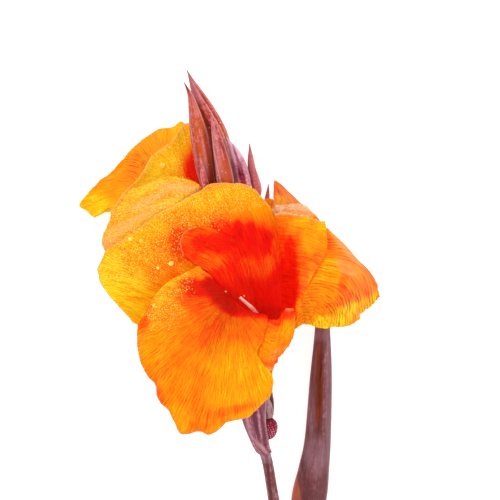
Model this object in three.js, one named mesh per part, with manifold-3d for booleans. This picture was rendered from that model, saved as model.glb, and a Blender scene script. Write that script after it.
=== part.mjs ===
// A cut flowering stem of canna lily, laid down on its back: a peduncle with its sheath,
// three open flowers, and a cluster of closed buds at the tip.
//
// Millimetres. +Z is up from the surface that the stem lies on, +Y runs along the stem towards
// the bud tips, and +X is to the right for someone who looks down on it.
//
// Every blade is a loft: a few ribs, each a smooth curve through its own few points, are joined
// from base to rim into a surface, and the surface gets its thickness and its ruffles.

import * as THREE from "three";
import { mergeVertices } from "three/addons/utils/BufferGeometryUtils.js";
import Module from "manifold-3d";

const wasm = await Module();
wasm.setup();

// ---------------------------------------------------------------- driving dimensions

const CENTRE = [-10.22, -53.88]; // the middle of the bounding box, in the drawing's own X and Y
const PETAL_THICKNESS = 0.8; // staminode blades
const SEPAL_THICKNESS = 0.9; // true petals, sepals and bracts
const SHEATH_THICKNESS = 1.0;
const SEAT_GAP = 0.3; // between touching pieces
const TUBE_RADIUS = 3.1; // a flower's tube at its mouth
const CLAW_RADIUS = 2.3; // where the staminodes stand on the tube's mouth
const CLAW_FLARE = 6.4; // their radius where the tube opens
const CLAW_LENGTH = 16; // from the tube's mouth to there

// ---------------------------------------------------------------- colours

const FINISH = {
  petal: { color: 0xff9a14, roughness: 0.55, metalness: 0 },
  style: { color: 0xf6b49a, roughness: 0.5, metalness: 0 },
  bud: { color: 0xa55a52, roughness: 0.6, metalness: 0 },
  ovary: { color: 0x7a2338, roughness: 0.6, metalness: 0 },
  bract: { color: 0x8e6370, roughness: 0.6, metalness: 0 },
  stem: { color: 0x83484d, roughness: 0.55, metalness: 0 },
  sheath: { color: 0x7d555b, roughness: 0.6, metalness: 0 },
};

// ---------------------------------------------------------------- surfaces and solids

const vector = (p) => (p.isVector3 ? p.clone() : new THREE.Vector3(...p));

const smooth = (points) =>
  new THREE.CatmullRomCurve3(points.map(vector), false, "catmullrom", 0.5);

// The loft through ribs as rows of points, evenly spaced along every rib and from rib to rib.
function loft(ribs, rows, columns) {
  const across = ribs.map((rib) => smooth(rib).getSpacedPoints(columns));
  const grid = Array.from({ length: rows + 1 }, () => []);
  for (let c = 0; c <= columns; c++) {
    const along = smooth(across.map((points) => points[c])).getSpacedPoints(rows);
    along.forEach((point, r) => grid[r].push(point));
  }
  return grid;
}

// The unit normal of a grid of points at row r and column c.
function normalAt(grid, r, c) {
  const rows = grid.length - 1;
  const columns = grid[0].length - 1;
  const up = grid[Math.min(r + 1, rows)][c].clone().sub(grid[Math.max(r - 1, 0)][c]);
  const side = grid[r][Math.min(c + 1, columns)].clone().sub(grid[r][Math.max(c - 1, 0)]);
  return side.cross(up).normalize();
}

// Waves that grow towards the rim (tip) and the two side margins (side).
function ruffled(grid, { tip = 0, waves = 3, side = 0, sideWaves = 2, phase = 0 }) {
  const rows = grid.length - 1;
  const columns = grid[0].length - 1;
  return grid.map((row, r) =>
    row.map((point, c) => {
      const u = r / rows;
      const v = c / columns;
      const margin = Math.abs(2 * v - 1);
      const height =
        tip * u ** 4 * Math.sin(2 * Math.PI * (waves * v + phase)) +
        side * u * margin ** 4 * Math.sin(2 * Math.PI * (sideWaves * u + phase));
      return point.clone().addScaledVector(normalAt(grid, r, c), height);
    }),
  );
}

// A closed sheet of even thickness on a grid, both faces split into the same triangles.
function sheet(grid, thickness) {
  const rows = grid.length - 1;
  const columns = grid[0].length - 1;
  const plane = new THREE.PlaneGeometry(1, 1, columns, rows).index.array;
  const half = (rows + 1) * (columns + 1);
  const at = (r, c) => r * (columns + 1) + c;
  const position = new Float32Array(half * 6);
  grid.forEach((row, r) =>
    row.forEach((point, c) => {
      const normal = normalAt(grid, r, c).multiplyScalar(thickness / 2);
      point.clone().add(normal).toArray(position, 3 * at(r, c));
      point.clone().sub(normal).toArray(position, 3 * (half + at(r, c)));
    }),
  );
  const faces = [];
  for (let i = 0; i < plane.length; i += 3) {
    const [a, b, c] = plane.slice(i, i + 3);
    faces.push(a, c, b, half + a, half + b, half + c);
  }
  const rim = [];
  for (let c = 0; c < columns; c++) rim.push(at(0, c));
  for (let r = 0; r < rows; r++) rim.push(at(r, columns));
  for (let c = columns; c > 0; c--) rim.push(at(rows, c));
  for (let r = rows; r > 0; r--) rim.push(at(r, 0));
  rim.forEach((a, i) => {
    const b = rim[(i + 1) % rim.length];
    faces.push(b, a, half + a, b, half + a, half + b);
  });
  return closed(position, faces);
}

// A solid as a BufferGeometry, turned the right way out.
function closed(position, faces) {
  const geometry = new THREE.BufferGeometry();
  geometry.setAttribute("position", new THREE.Float32BufferAttribute(position, 3));
  geometry.setIndex(faces);
  if (volume(geometry) < 0) geometry.setIndex([...faces].reverse());
  return geometry;
}

function volume(geometry) {
  const index = geometry.index.array;
  const corner = (i) => new THREE.Vector3().fromBufferAttribute(geometry.attributes.position, index[i]);
  let six = 0;
  for (let i = 0; i < index.length; i += 3) six += corner(i).dot(corner(i + 1).cross(corner(i + 2)));
  return six / 6;
}

// A round body along a path: a cylinder bent onto a smooth curve, with its radius given as a
// function of the way along (0 to 1) and round (in turns).
function rod(path, radius, { sides = 10, steps = 12, up = [0, 0, 1] }) {
  const curve = smooth(path);
  const body = new THREE.CylinderGeometry(1, 1, 1, sides, steps);
  body.deleteAttribute("normal");
  body.deleteAttribute("uv");
  const merged = mergeVertices(body, 1e-5);
  const position = merged.attributes.position;
  const point = new THREE.Vector3();
  for (let i = 0; i < position.count; i++) {
    point.fromBufferAttribute(position, i);
    const t = THREE.MathUtils.clamp(point.y + 0.5, 0, 1);
    const turn = Math.atan2(point.x, point.z) / (2 * Math.PI);
    const spread = Math.hypot(point.x, point.z) * radius(t, turn);
    const forward = curve.getTangentAt(t);
    const side = forward.clone().cross(vector(up)).normalize();
    const lift = side.clone().cross(forward).normalize();
    curve
      .getPointAt(t)
      .addScaledVector(side, spread * Math.sin(2 * Math.PI * turn))
      .addScaledVector(lift, spread * Math.cos(2 * Math.PI * turn))
      .toArray(position.array, 3 * i);
  }
  if (volume(merged) < 0) merged.setIndex([...merged.index.array].reverse());
  return merged;
}

// A smooth table: values at even steps from 0 to 1.
function table(...values) {
  const curve = new THREE.SplineCurve(values.map((v, i) => new THREE.Vector2(i, v)));
  return (t) => curve.getPoint(THREE.MathUtils.clamp(t, 0, 1)).y;
}

// Solids for joining and cutting.
function solid(geometry) {
  const bare = new THREE.BufferGeometry();
  bare.setAttribute("position", geometry.getAttribute("position"));
  bare.setIndex(geometry.index);
  const merged = mergeVertices(bare, 1e-4);
  return new wasm.Manifold(
    new wasm.Mesh({
      numProp: 3,
      vertProperties: new Float32Array(merged.attributes.position.array),
      triVerts: new Uint32Array(merged.index.array),
    }),
  );
}

function fromSolid(made) {
  const { vertProperties, triVerts } = made.getMesh();
  const geometry = new THREE.BufferGeometry();
  geometry.setAttribute("position", new THREE.Float32BufferAttribute(vertProperties, 3));
  geometry.setIndex(new THREE.BufferAttribute(triVerts, 1));
  return geometry;
}

const fused = (geometries) =>
  fromSolid(geometries.map(solid).reduce((whole, piece) => whole.add(piece)));

// Nothing reaches below the surface that the stem lies on: what would is pressed flat.
function pressedFlat(geometry) {
  const position = geometry.attributes.position;
  for (let i = 0; i < position.count; i++) position.setZ(i, Math.max(0, position.getZ(i)));
  return geometry;
}

// ---------------------------------------------------------------- the group

const canna = new THREE.Group();
canna.name = "canna_lily_stem";
canna.position.set(-CENTRE[0], -CENTRE[1], 0);

function add(name, geometry, finish) {
  const mesh = new THREE.Mesh(geometry, new THREE.MeshStandardMaterial(FINISH[finish]));
  mesh.name = name;
  canna.add(mesh);
}

// ---------------------------------------------------------------- a flower's own frame

// A flower's tube runs from its ovary to its mouth, and opens towards its throat. Angles go
// round the tube from its back, which faces the surface, through the flower's own left.
function flowerFrame({ ovary, mouth, throat }) {
  const base = vector(mouth);
  const axis = vector(throat).sub(base).normalize();
  const back = new THREE.Vector3(0, 0, -1);
  back.addScaledVector(axis, -back.dot(axis)).normalize();
  const left = axis.clone().cross(back);
  return {
    ovary: vector(ovary),
    mouth: base,
    axis,
    point(degrees, radius, height) {
      const angle = THREE.MathUtils.degToRad(degrees);
      return base
        .clone()
        .addScaledVector(axis, height)
        .addScaledVector(back, radius * Math.cos(angle))
        .addScaledVector(left, radius * Math.sin(angle));
    },
  };
}

// A staminode: a narrow claw on its own sector of the tube's mouth, then the ribs of its blade.
function staminode(flower, { sector: [centre, width], ribs, rows = 12, columns = 10, ruffle = {} }) {
  const arc = (radius, height) =>
    [1, 0, -1].map((side) => flower.point(centre + (side * width) / 2, radius, height));
  const base = SEAT_GAP + 0.2;
  const grid = loft([arc(CLAW_RADIUS, base), arc(CLAW_FLARE, CLAW_LENGTH), ...ribs], rows, columns);
  return pressedFlat(sheet(ruffled(grid, ruffle), PETAL_THICKNESS));
}

// A true petal: narrow and pointed, it stands against the outside of the tube.
function truePetal(flower, { sector: [centre, width], ribs }) {
  const arc = (radius, height) =>
    [1, 0, -1].map((side) => flower.point(centre + (side * width) / 2, radius, height));
  const outside = TUBE_RADIUS + SEAT_GAP + SEPAL_THICKNESS / 2;
  const grid = loft([arc(outside, -3), arc(outside + 2, 4), ...ribs], 7, 4);
  return sheet(grid, SEPAL_THICKNESS);
}

const FLOWERS = {
  front: flowerFrame({ ovary: [9.2, -84.5, 43], mouth: [4.5, -68, 51], throat: [5, -40, 66] }),
  left: flowerFrame({ ovary: [-14.5, 1.5, 46.3], mouth: [-20, 9, 47], throat: [-32, 26, 49] }),
  right: flowerFrame({ ovary: [7.4, -19.5, 44], mouth: [11.5, -13, 44.6], throat: [20, 0, 46] }),
};

// ---------------------------------------------------------------- front flower

const STAMINODES = {
  front: {
    banner: {
      sector: [8, 84],
      rows: 14,
      columns: 14,
      ruffle: { tip: 1.0, waves: 5, side: 0.5 },
      ribs: [
        [[-20, -34, 64], [-10, -24, 60], [2, -25, 57], [12, -30, 55.5], [19, -36, 55]],
        [[-42, -42, 66], [-32, -12, 63], [-5, 0, 59], [13, 2, 59], [22, -8, 58]],
        [
          [-58, -38, 70], [-65, -28, 71], [-74, -16, 71], [-76.5, -10, 70], [-72, 0, 69],
          [-58, 9.5, 67], [-42, 20.5, 65], [-25, 29.5, 64], [-5, 33.5, 64], [4, 29, 65],
          [10, 21, 66], [17, 12, 62],
        ],
      ],
    },
    right_wing: {
      sector: [-66, 46],
      columns: 8,
      ruffle: { tip: 0.8, waves: 2 },
      ribs: [
        [[14.5, -36, 61], [20, -37, 67], [22, -38, 76]],
        [[16, -16, 62], [22, -16, 72], [24.5, -17, 79], [28.5, -18, 76]],
        [[15, 0, 63.5], [20, 0, 70], [25, 0, 77], [31, -1, 75], [37.5, -2, 70]],
        [[14, 10, 66.5], [20, 10, 72], [26, 10, 74], [32, 9, 73], [38.3, 8, 70]],
        [[12.5, 18, 68], [18, 18.5, 69.5], [25, 17.5, 70], [32, 15.5, 69], [37.5, 14.5, 68]],
      ],
    },
    lip: {
      sector: [168, 70],
      rows: 15,
      columns: 16,
      ruffle: { tip: 1.4, waves: 5, side: 0.8 },
      ribs: [
        [[-16, -24, 71], [-6, -34, 72], [6, -38, 71]],
        [[-23.5, -9, 78], [-12.5, -21.5, 82], [-2.5, -30, 84], [9, -33, 84]],
        [[-30, -10, 80], [-27, -24, 86], [-14, -38, 90], [0, -44, 91], [6, -44, 89]],
        [[-43, -18, 79], [-44, -36, 85], [-29, -58, 90], [-10, -64, 91], [3, -52, 89]],
        [
          [-56.5, -37, 77], [-57.5, -44, 77], [-56.5, -52, 78], [-53, -61, 79], [-48, -66.5, 80],
          [-46.5, -73, 80], [-40.5, -80, 80], [-34.5, -92, 78], [-26, -90, 79], [-19, -92, 78],
          [-11, -86, 80], [-4.5, -84, 80], [5, -78.5, 80], [10, -72.5, 82], [12, -66, 84],
          [11, -61.5, 86],
        ],
      ],
    },
    lip_lobe: {
      sector: [-122, 40],
      rows: 10,
      columns: 7,
      ruffle: { tip: 0.8, waves: 2 },
      ribs: [
        [[7, -41, 71], [11, -42, 70], [14, -43, 68]],
        [[11, -35, 81], [15.5, -36, 80], [19, -39, 78]],
        [[6, -44, 84], [14, -45, 83], [21, -42, 79]],
        [[3, -53, 82], [10.6, -60, 79], [14.6, -54.5, 78], [18, -51, 78], [20.5, -44, 77]],
      ],
    },
    stamen_blade: {
      sector: [88, 44],
      rows: 10,
      columns: 6,
      ruffle: { tip: 0.5, waves: 1 },
      ribs: [
        [[-6, -36, 66], [-2, -34, 62], [3, -32, 61]],
        [[-18, -14, 70], [-12, -8, 66], [-4, 2, 63]],
        [[-31, -5, 72], [-28, 3, 68], [-20, 11, 66]],
        [[-33.5, -3, 74], [-35.2, 3, 73], [-33, 8.5, 71], [-27, 11.5, 69]],
      ],
    },
  },
  left: {
    outer_blade: {
      sector: [42, 70],
      columns: 11,
      ruffle: { tip: 1.0, waves: 4 },
      ribs: [
        [[-48, 16, 32], [-48, 29, 29], [-36, 40, 31]],
        [[-64, 19, 17], [-64, 32, 11], [-50, 46, 14], [-36, 54, 29]],
        [
          [-77, 17, 4], [-81, 19, 1], [-88, 22.5, -1], [-84, 26, -1.5], [-77, 32.5, -1.5],
          [-69.5, 40, -1.5], [-61.5, 47.5, -1], [-54, 55.5, 4], [-46, 60.7, 13], [-39, 62, 22],
          [-35.5, 64, 27],
        ],
      ],
    },
    banner: {
      sector: [-48, 76],
      columns: 11,
      ruffle: { tip: 0.8, waves: 3 },
      ribs: [
        [[-46, 20, 44], [-40, 32, 42], [-22.5, 33, 43]],
        [[-60, 16, 48], [-52, 34, 43], [-36, 49, 41], [-23, 46, 43.5]],
        [
          [-66, 14, 50], [-70, 18.5, 49], [-65, 26.5, 47], [-58.5, 33.5, 46], [-52.5, 40, 45],
          [-48.5, 47, 44], [-43, 51.5, 43], [-36.5, 58.5, 43], [-32, 64, 42], [-26.5, 59, 43.5],
        ],
      ],
    },
    lip: {
      sector: [150, 80],
      columns: 11,
      ruffle: { tip: 1.0, waves: 4 },
      ribs: [
        [[-36, 6, 52], [-38, 20, 55], [-24.5, 31.5, 57.6]],
        [[-50, -4, 54], [-54, 14, 58], [-39, 37, 56]],
        [
          [-62, -8, 56], [-70, -3, 55], [-74, 2.5, 54], [-73.5, 7, 54], [-73, 10, 54],
          [-70, 16, 54], [-66, 22, 54], [-60, 29, 54], [-50, 34.5, 54.5],
        ],
      ],
    },
  },
  right: {
    upper_blade: {
      sector: [70, 90],
      rows: 10,
      columns: 6,
      ribs: [
        [[15, 12, 50], [22, 11, 49], [34, 14, 48]],
        [[12, 24, 52], [19, 23, 51], [26.5, 22.5, 49.5]],
        [[12, 33.5, 50], [12.5, 35, 50], [15, 33.5, 50]],
      ],
    },
    middle_blade: {
      sector: [166, 56],
      rows: 8,
      columns: 10,
      ruffle: { tip: 0.4, waves: 2 },
      ribs: [
        [[16, 6, 55], [22, 5, 56], [27, 2, 55]],
        [
          [7.6, 21, 56.5], [7.8, 25.4, 56.5], [11, 25.6, 57], [13.5, 22.6, 57.5],
          [25, 22.5, 57.5], [30, 19, 57], [34, 14.5, 56], [36, 10, 55],
        ],
      ],
    },
    drooping_blade: {
      sector: [-80, 110],
      rows: 12,
      columns: 18,
      ruffle: { tip: 1.6, waves: 6 },
      ribs: [
        [[31, 4, 44], [34, -8, 46], [24, -20, 44]],
        [[38, 10.5, 38], [49, -10, 36], [42, -28, 32], [23, -30, 38]],
        [
          [39, 11, 34], [48.5, 2.5, 26], [55, -4, 18], [61, -11.5, 8], [65.4, -19, 0],
          [66.4, -22.8, -1], [63.5, -26.5, -1], [57, -30.5, 5], [55.5, -33, 8], [48, -37.5, 17],
          [40, -39, 25], [32.5, -38, 30], [27.5, -36.5, 33], [22, -39.5, 34],
        ],
      ],
    },
  },
};
for (const [flower, blades] of Object.entries(STAMINODES)) {
  for (const [name, blade] of Object.entries(blades)) {
    add(`${flower}_${name}`, staminode(FLOWERS[flower], blade), "petal");
  }
}

// ---------------------------------------------------------------- true petals, tubes, ovaries

const TRUE_PETALS = {
  front: [
    { sector: [180, 60], ribs: [[[-14, -56, 61], [-8, -61, 62.5], [-3, -62, 61.5]], [[-21, -62, 66], [-20.5, -62.5, 66.2], [-20, -63, 66]]] },
    { sector: [70, 60], ribs: [[[-14, -56, 55], [-14, -54, 51], [-12, -51, 48]], [[-32, -46, 50], [-32, -45.5, 49.6], [-32, -45, 49.2]]] },
    { sector: [-60, 60], ribs: [[[9, -52, 46], [12, -52, 48.5], [13, -53, 52.5]], [[19.2, -35, 50], [19.4, -35.2, 50.5], [19.6, -35.4, 51]]] },
  ],
  left: [
    { sector: [100, 70], ribs: [[[-35, 4, 45], [-34, 6, 40], [-32, 10, 37]], [[-56, -4, 42], [-56, -3.5, 41.6], [-56, -3, 41.2]]] },
    { sector: [0, 70], ribs: [[[-34, 13, 34], [-29, 20, 31], [-24, 22, 33]], [[-42, 26, 20], [-41.6, 26.4, 19.9], [-41.2, 26.8, 20]]] },
    { sector: [-95, 60], ribs: [[[-20, 22, 37], [-17, 22, 40], [-16, 20, 43]], [[-21, 38, 35], [-20.8, 38, 35.4], [-20.6, 38, 35.8]]] },
  ],
  right: [
    { sector: [110, 60], ribs: [[[5, 4, 49], [4, 4, 46], [5, 2, 42]], [[8, 20, 52], [8, 20, 51.6], [8, 20, 51.2]]] },
    { sector: [0, 70], ribs: [[[10, 4, 36], [16, 1, 33], [20, -4, 36]], [[20, 14, 26], [20.6, 13.6, 25.9], [21.2, 13.2, 26]]] },
    { sector: [-110, 60], ribs: [[[15, -23, 40], [17, -22, 44], [17, -18, 48]], [[19.5, -31, 43.4], [20, -31, 43.8], [20.5, -31, 44.2]]] },
  ],
};
for (const [flower, petals] of Object.entries(TRUE_PETALS)) {
  petals.forEach((petal, i) =>
    add(`${flower}_true_petal_${i + 1}`, truePetal(FLOWERS[flower], petal), "bud"),
  );
}

for (const [name, { ovary, mouth, axis }] of Object.entries(FLOWERS)) {
  const middle = mouth.clone().addScaledVector(axis, -3);
  const start = ovary.clone().addScaledVector(middle.clone().sub(ovary).normalize(), 2 * SEAT_GAP);
  const radius = table(2.1, 2.0, 2.4, TUBE_RADIUS);
  add(`${name}_tube`, rod([start, middle, mouth], radius, { steps: 5 }), "bud");
}

// Three sepals stand on each ovary, round the foot of the tube.
const SEPAL_LENGTH = 14; // shorter where the true petals sit low on the tube
const SEPALS = { right: [-72, 3.6], upper: [-142, 1.8], lower: [50, 0.8] }; // angle and flare
for (const [name, { ovary, mouth, axis }] of Object.entries(FLOWERS)) {
  const { point } = flowerFrame({
    ovary: ovary.toArray(),
    mouth: ovary.toArray(),
    throat: mouth.clone().addScaledVector(axis, -3).toArray(),
  });
  const foot = 2.1 + SEAT_GAP + SEPAL_THICKNESS / 2;
  const length = Math.min(SEPAL_LENGTH, mouth.distanceTo(ovary) - 3.8);
  for (const [side, [angle, flare]] of Object.entries(SEPALS)) {
    const arc = (turn, radius, height) =>
      [1, 0, -1].map((edge) => point(angle + edge * turn, radius, height));
    const ribs = [
      arc(32, foot, 0.9),
      arc(30, foot + 0.4 + (flare * length) / 28, 0.5 * length),
      arc(6, foot + (flare * length) / 14, length),
    ];
    add(`${name}_sepal_${side}`, sheet(loft(ribs, 6, 3), SEPAL_THICKNESS), "bract");
  }
}

const OVARY_RADIUS = 4.2;
const OVARIES = {
  front: [[8, -95, 36.5], [9.6, -89.5, 40.5]],
  left: [[-10, -6.5, 45.2], [-12.8, -2.2, 45.9]],
  right: [[2.6, -28.7, 43.1], [5.2, -23.8, 43.6]],
};
for (const [name, path] of Object.entries(OVARIES)) {
  const girth = table(0.35, 0.82, 1, 0.94, 0.5);
  const warts = (t, turn) => 0.97 + 0.03 * Math.sin(10 * Math.PI * t) * Math.cos(12 * Math.PI * turn);
  const radius = (t, turn) => OVARY_RADIUS * girth(t) * warts(t, turn);
  add(
    `${name}_ovary`,
    rod([...path, FLOWERS[name].ovary], radius, { sides: 12, steps: 10 }),
    "ovary",
  );
}

// The style: a flat strip up the middle of the front flower's throat.
const STYLE_RADIUS = 1.0;
add(
  "front_style",
  rod(
    [FLOWERS.front.point(0, 0, SEAT_GAP + 0.1), [4.6, -55, 58.6], [4, -44, 64], [2.2, -34, 67.5], [-5.5, -23, 70.5]],
    table(0.6, 0.8, STYLE_RADIUS, STYLE_RADIUS, 0.5),
    { sides: 6, steps: 8 },
  ),
  "style",
);

// ---------------------------------------------------------------- buds

const BUDS = {
  bud_1: {
    path: [
      [-11.5, 24, 42.3], [-13.5, 34, 40.5], [-14.8, 48, 40], [-17, 58.5, 40], [-21.6, 69.5, 41.5],
      [-26.8, 80.5, 44.5], [-31.5, 90, 48],
    ],
    radius: [1.4, 5.6, 6.1, 5.6, 4.3, 2.4, 0.25],
  },
  bud_2: {
    path: [[-16, 24, 49.4], [-21, 33.5, 51.4], [-24.8, 54, 52.5], [-27.3, 66.5, 52.5], [-29.4, 77, 52.5], [-33, 84, 53]],
    radius: [1.3, 3.9, 4.6, 4.2, 2.5, 0.25],
  },
  bud_3: {
    path: [[-10.3, 25, 50.6], [-12, 33, 54.5], [-13.4, 41.5, 55], [-15.2, 50, 55], [-17.2, 59, 55], [-19.8, 69, 55]],
    radius: [1.3, 4.3, 4.1, 3.3, 2, 0.25],
  },
  bud_4: {
    path: [[-5.2, 25, 47.6], [-4, 33, 49], [-5.2, 40, 49.5], [-7.4, 47.5, 49.5], [-10.2, 53.5, 49.5], [-12.2, 57, 49.5]],
    radius: [1.2, 3.8, 3.9, 3.4, 2, 0.25],
  },
  bud_5: {
    path: [[-18.6, 26.8, 58.2], [-22, 31.5, 60.8], [-23.4, 38, 60.8], [-24.6, 44.5, 60.4], [-25.2, 48.5, 60]],
    radius: [0.7, 1.7, 1.7, 0.9, 0.25],
  },
  bud_6: {
    path: [[2.2, 21.5, 46], [3.4, 30, 46.3], [2.3, 36, 46.8], [1, 42, 47], [-0.25, 53.5, 47]],
    radius: [0.9, 2.1, 2, 1.5, 0.25],
  },
  bud_7: {
    path: [[7.2, 19.6, 46.2], [8.6, 26, 48.6], [9.25, 33, 49.6]],
    radius: [0.8, 1.2, 0.25],
  },
};
for (const [name, { path, radius }] of Object.entries(BUDS)) {
  add(name, rod(path, table(...radius), { sides: 8, steps: 10 }), "bud");
}

// ---------------------------------------------------------------- stem, sheath and bract

const STEM = [
  [23.5, -197.5, 4], [22.4, -183, 4.2], [20.4, -162, 12], [15.5, -142.5, 19], [11.1, -125, 24],
  [8.2, -107.5, 29], [5.5, -95, 33], [3.5, -75, 37], [0.5, -45, 41], [-3.5, -10, 44],
  [-7.5, 14, 45.5], [-8, 21, 46],
];
const STEM_RADII = [5, 5, 4.6, 3.2, 2.7, 2.7, 2.7, 2.5, 2.5, 2.4, 2.2, 1.6];
const STALKS = [
  { path: [[5.8, -99, 31.8], [7, -97, 33.6], [7.8, -95.5, 36]], radius: 1.4 },
  { path: [[-3.4, -14, 43.6], [-6.5, -10.5, 44.4], [-9.7, -7, 45.1]], radius: 1.4 },
  { path: [[-0.8, -35, 42], [0.6, -31.5, 42.6], [2.3, -29.2, 43]], radius: 1.4 },
  { path: [[-7.6, 15, 45.2], [-9.8, 20, 43.6], [-11.3, 23.6, 42.4]], radius: 1.3 },
  { path: [[-7.9, 17, 45.6], [-12.5, 20.5, 47.6], [-15.8, 23.6, 49.2]], radius: 1.2 },
  { path: [[-8, 19, 46], [-9.6, 22.4, 48.6], [-10.2, 24.7, 50.2]], radius: 1.2 },
  { path: [[-8, 19, 46.4], [-12.8, 22.2, 53], [-18.3, 26.4, 57.8]], radius: 0.7 },
  { path: [[-7.8, 17, 45.8], [-6, 21.5, 47], [-5.2, 24.6, 47.5]], radius: 1.1 },
  { path: [[-6.2, 6, 44.8], [-1.2, 15, 45.4], [2, 21.1, 45.9]], radius: 0.9 },
  { path: [[-4.2, -4, 44.2], [2.5, 10, 44.6], [7, 19.2, 46]], radius: 0.8 },
];
add(
  "stem",
  pressedFlat(
    fused([
      rod(STEM, table(...STEM_RADII), { steps: 28 }),
      ...STALKS.map(({ path, radius }) => rod(path, () => radius, { sides: 6, steps: 3 })),
    ]),
  ),
  "stem",
);

const SHEATH = [
  [[23, -157, 18.3], [26.3, -158, 13.8], [24.6, -157, 8.8]],
  [[21.5, -141, 14.5], [28, -140, 21], [35, -141, 12]],
  [[20.5, -124.5, 13], [30, -124, 21], [38.5, -125, 12]],
  [[27, -95, 12], [34, -95, 20], [40.5, -95, 12]],
  [[30, -65, 11], [36, -65, 18], [41, -65, 11.5]],
  [[32.5, -39.5, 11], [37, -39.5, 16.5], [40, -39.5, 11]],
  [[36, 3, 13], [37, 5, 13.5], [38, 3, 13]],
];
add("sheath", sheet(loft(SHEATH, 16, 6), SHEATH_THICKNESS), "sheath");

const BRACT = [
  [[3.1, -101.8, 31.2], [7.2, -103.4, 35.4], [11, -101.6, 31.8]],
  [[0.4, -96.5, 37], [4.4, -97.5, 43], [9.8, -98, 42]],
  [[-4.2, -84, 43], [2.4, -87, 50.5], [8, -86, 48.6]],
  [[-3, -75, 52], [3, -75, 58], [8, -75, 56.5]],
  [[2.6, -66.5, 62], [4.6, -65, 62.6], [6.6, -66.5, 62]],
];
add("bract", sheet(loft(BRACT, 9, 6), SEPAL_THICKNESS), "bract");

export default canna;
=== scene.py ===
# A cut flowering stem of canna lily, laid down on its back on a pale surface.
#
# Sizes in the tables are millimetres in the drawing's own frame: +Z up from the surface, +Y along
# the stem towards the bud tips, +X to the right seen from above. placed() moves the drawing into
# the frame's metres.

import math
import random

import bmesh
import bpy
import numpy as np
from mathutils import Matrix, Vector


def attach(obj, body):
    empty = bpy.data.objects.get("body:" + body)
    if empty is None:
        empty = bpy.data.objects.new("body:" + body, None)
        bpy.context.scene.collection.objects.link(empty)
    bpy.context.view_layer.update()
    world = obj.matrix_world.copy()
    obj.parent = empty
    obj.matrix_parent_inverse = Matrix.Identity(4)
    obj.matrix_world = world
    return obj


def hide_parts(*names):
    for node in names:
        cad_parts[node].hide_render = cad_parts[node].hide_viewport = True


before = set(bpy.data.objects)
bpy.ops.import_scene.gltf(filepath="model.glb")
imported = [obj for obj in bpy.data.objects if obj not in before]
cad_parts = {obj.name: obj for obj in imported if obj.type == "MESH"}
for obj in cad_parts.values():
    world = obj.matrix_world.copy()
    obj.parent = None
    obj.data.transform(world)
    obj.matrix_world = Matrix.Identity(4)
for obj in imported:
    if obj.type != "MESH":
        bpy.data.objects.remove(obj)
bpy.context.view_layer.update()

CENTRE = np.array([-10.22, -53.88, 0.0])  # the drawing's point that is the frame's origin
MM = 0.001


def placed(points):
    return (np.asarray(points, float) - CENTRE) * MM


# ---------------------------------------------------------------- camera

VIEW_WIDTH = 250.0  # what the view's width covers, at the height of the front flower
VIEW_HEIGHT = 65.0  # that height over the surface
LENS = 600.0
SENSOR = 36.0
FARTHEST = 30.0  # metres that the camera sees; it stands a little over 4 metres up

camera = bpy.data.objects.new("camera", bpy.data.cameras.new("camera"))
bpy.context.scene.collection.objects.link(camera)
camera.data.lens = LENS
camera.data.sensor_width = SENSOR
camera.data.clip_end = FARTHEST
camera.location = placed([0, 0, VIEW_HEIGHT + VIEW_WIDTH * LENS / SENSOR])
bpy.context.scene.camera = camera
bpy.context.scene.view_settings.view_transform = "Standard"

# ---------------------------------------------------------------- curves, lofts and grids

SAMPLES = 240  # steps that a smooth curve is measured in
SIDE_WAVES = 2  # ruffles along each side of a blade
VEIN_PITCH = 2.6  # from vein to vein across a blade
FADE_END, FADE = 1.4, 0.8  # a stroke ends at 1.4 of its radii and fades over 0.8 of them
VEIN_START = {"fan": 60, "rings": 190}  # degrees where a fan or ring is cut open, out of sight
VEIN_RADIUS = {"fan": 56, "rings": 25}  # where its turn is measured


def joined(p, x):
    """The smooth curve through all points but the outer two, at x = 0, 1, 2 and between."""
    k = np.minimum(x.astype(int), len(p) - 4)
    w = (x - k).reshape(x.shape + (1,) * (p.ndim - 1))
    a, b, c, d = p[k], p[k + 1], p[k + 2], p[k + 3]
    m, n = (c - a) / 2, (d - b) / 2
    return b + m * w + (3 * (c - b) - 2 * m - n) * w**2 + (2 * (b - c) + m + n) * w**3


def table(values, t):
    """Values at even steps from 0 to 1, smoothly joined."""
    p = np.concatenate([values[:1], values, values[-1:]]).astype(float)
    return joined(p, np.clip(t, 0, 1) * (len(values) - 1))


def spaced(points, count):
    """count + 1 points evenly spaced along smooth curves through points: (n, ..., 3)."""
    p = np.asarray(points, float)
    p = np.concatenate([2 * p[:1] - p[1:2], p, 2 * p[-1:] - p[-2:-1]])
    dense = joined(p, np.linspace(0, len(p) - 3, SAMPLES + 1))
    flat = dense.reshape(SAMPLES + 1, -1, 3)
    steps = np.linalg.norm(np.diff(flat, axis=0), axis=2)
    out = np.empty((count + 1, flat.shape[1], 3))
    for j in range(flat.shape[1]):
        length = np.concatenate([[0], np.cumsum(steps[:, j])])
        even = np.linspace(0, length[-1], count + 1)
        for axis in range(3):
            out[:, j, axis] = np.interp(even, length, flat[:, j, axis])
    return out.reshape((count + 1,) + dense.shape[1:])


def loft(ribs, rows, columns):
    """The surface through ribs as rows of points, evenly spaced along and from rib to rib."""
    return spaced(np.array([spaced(rib, columns) for rib in ribs]), rows)


def unit(v):
    return v / np.maximum(np.linalg.norm(v, axis=-1, keepdims=True), 1e-9)


def normals(grid):
    return unit(np.cross(np.gradient(grid, axis=1), np.gradient(grid, axis=0)))


def out_across(grid):
    """How far out (0 to 1) and how far across (0 to 1) each point of a grid is."""
    rows, columns = grid.shape[:2]
    return np.meshgrid(np.linspace(0, 1, rows), np.linspace(0, 1, columns), indexing="ij")


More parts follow.
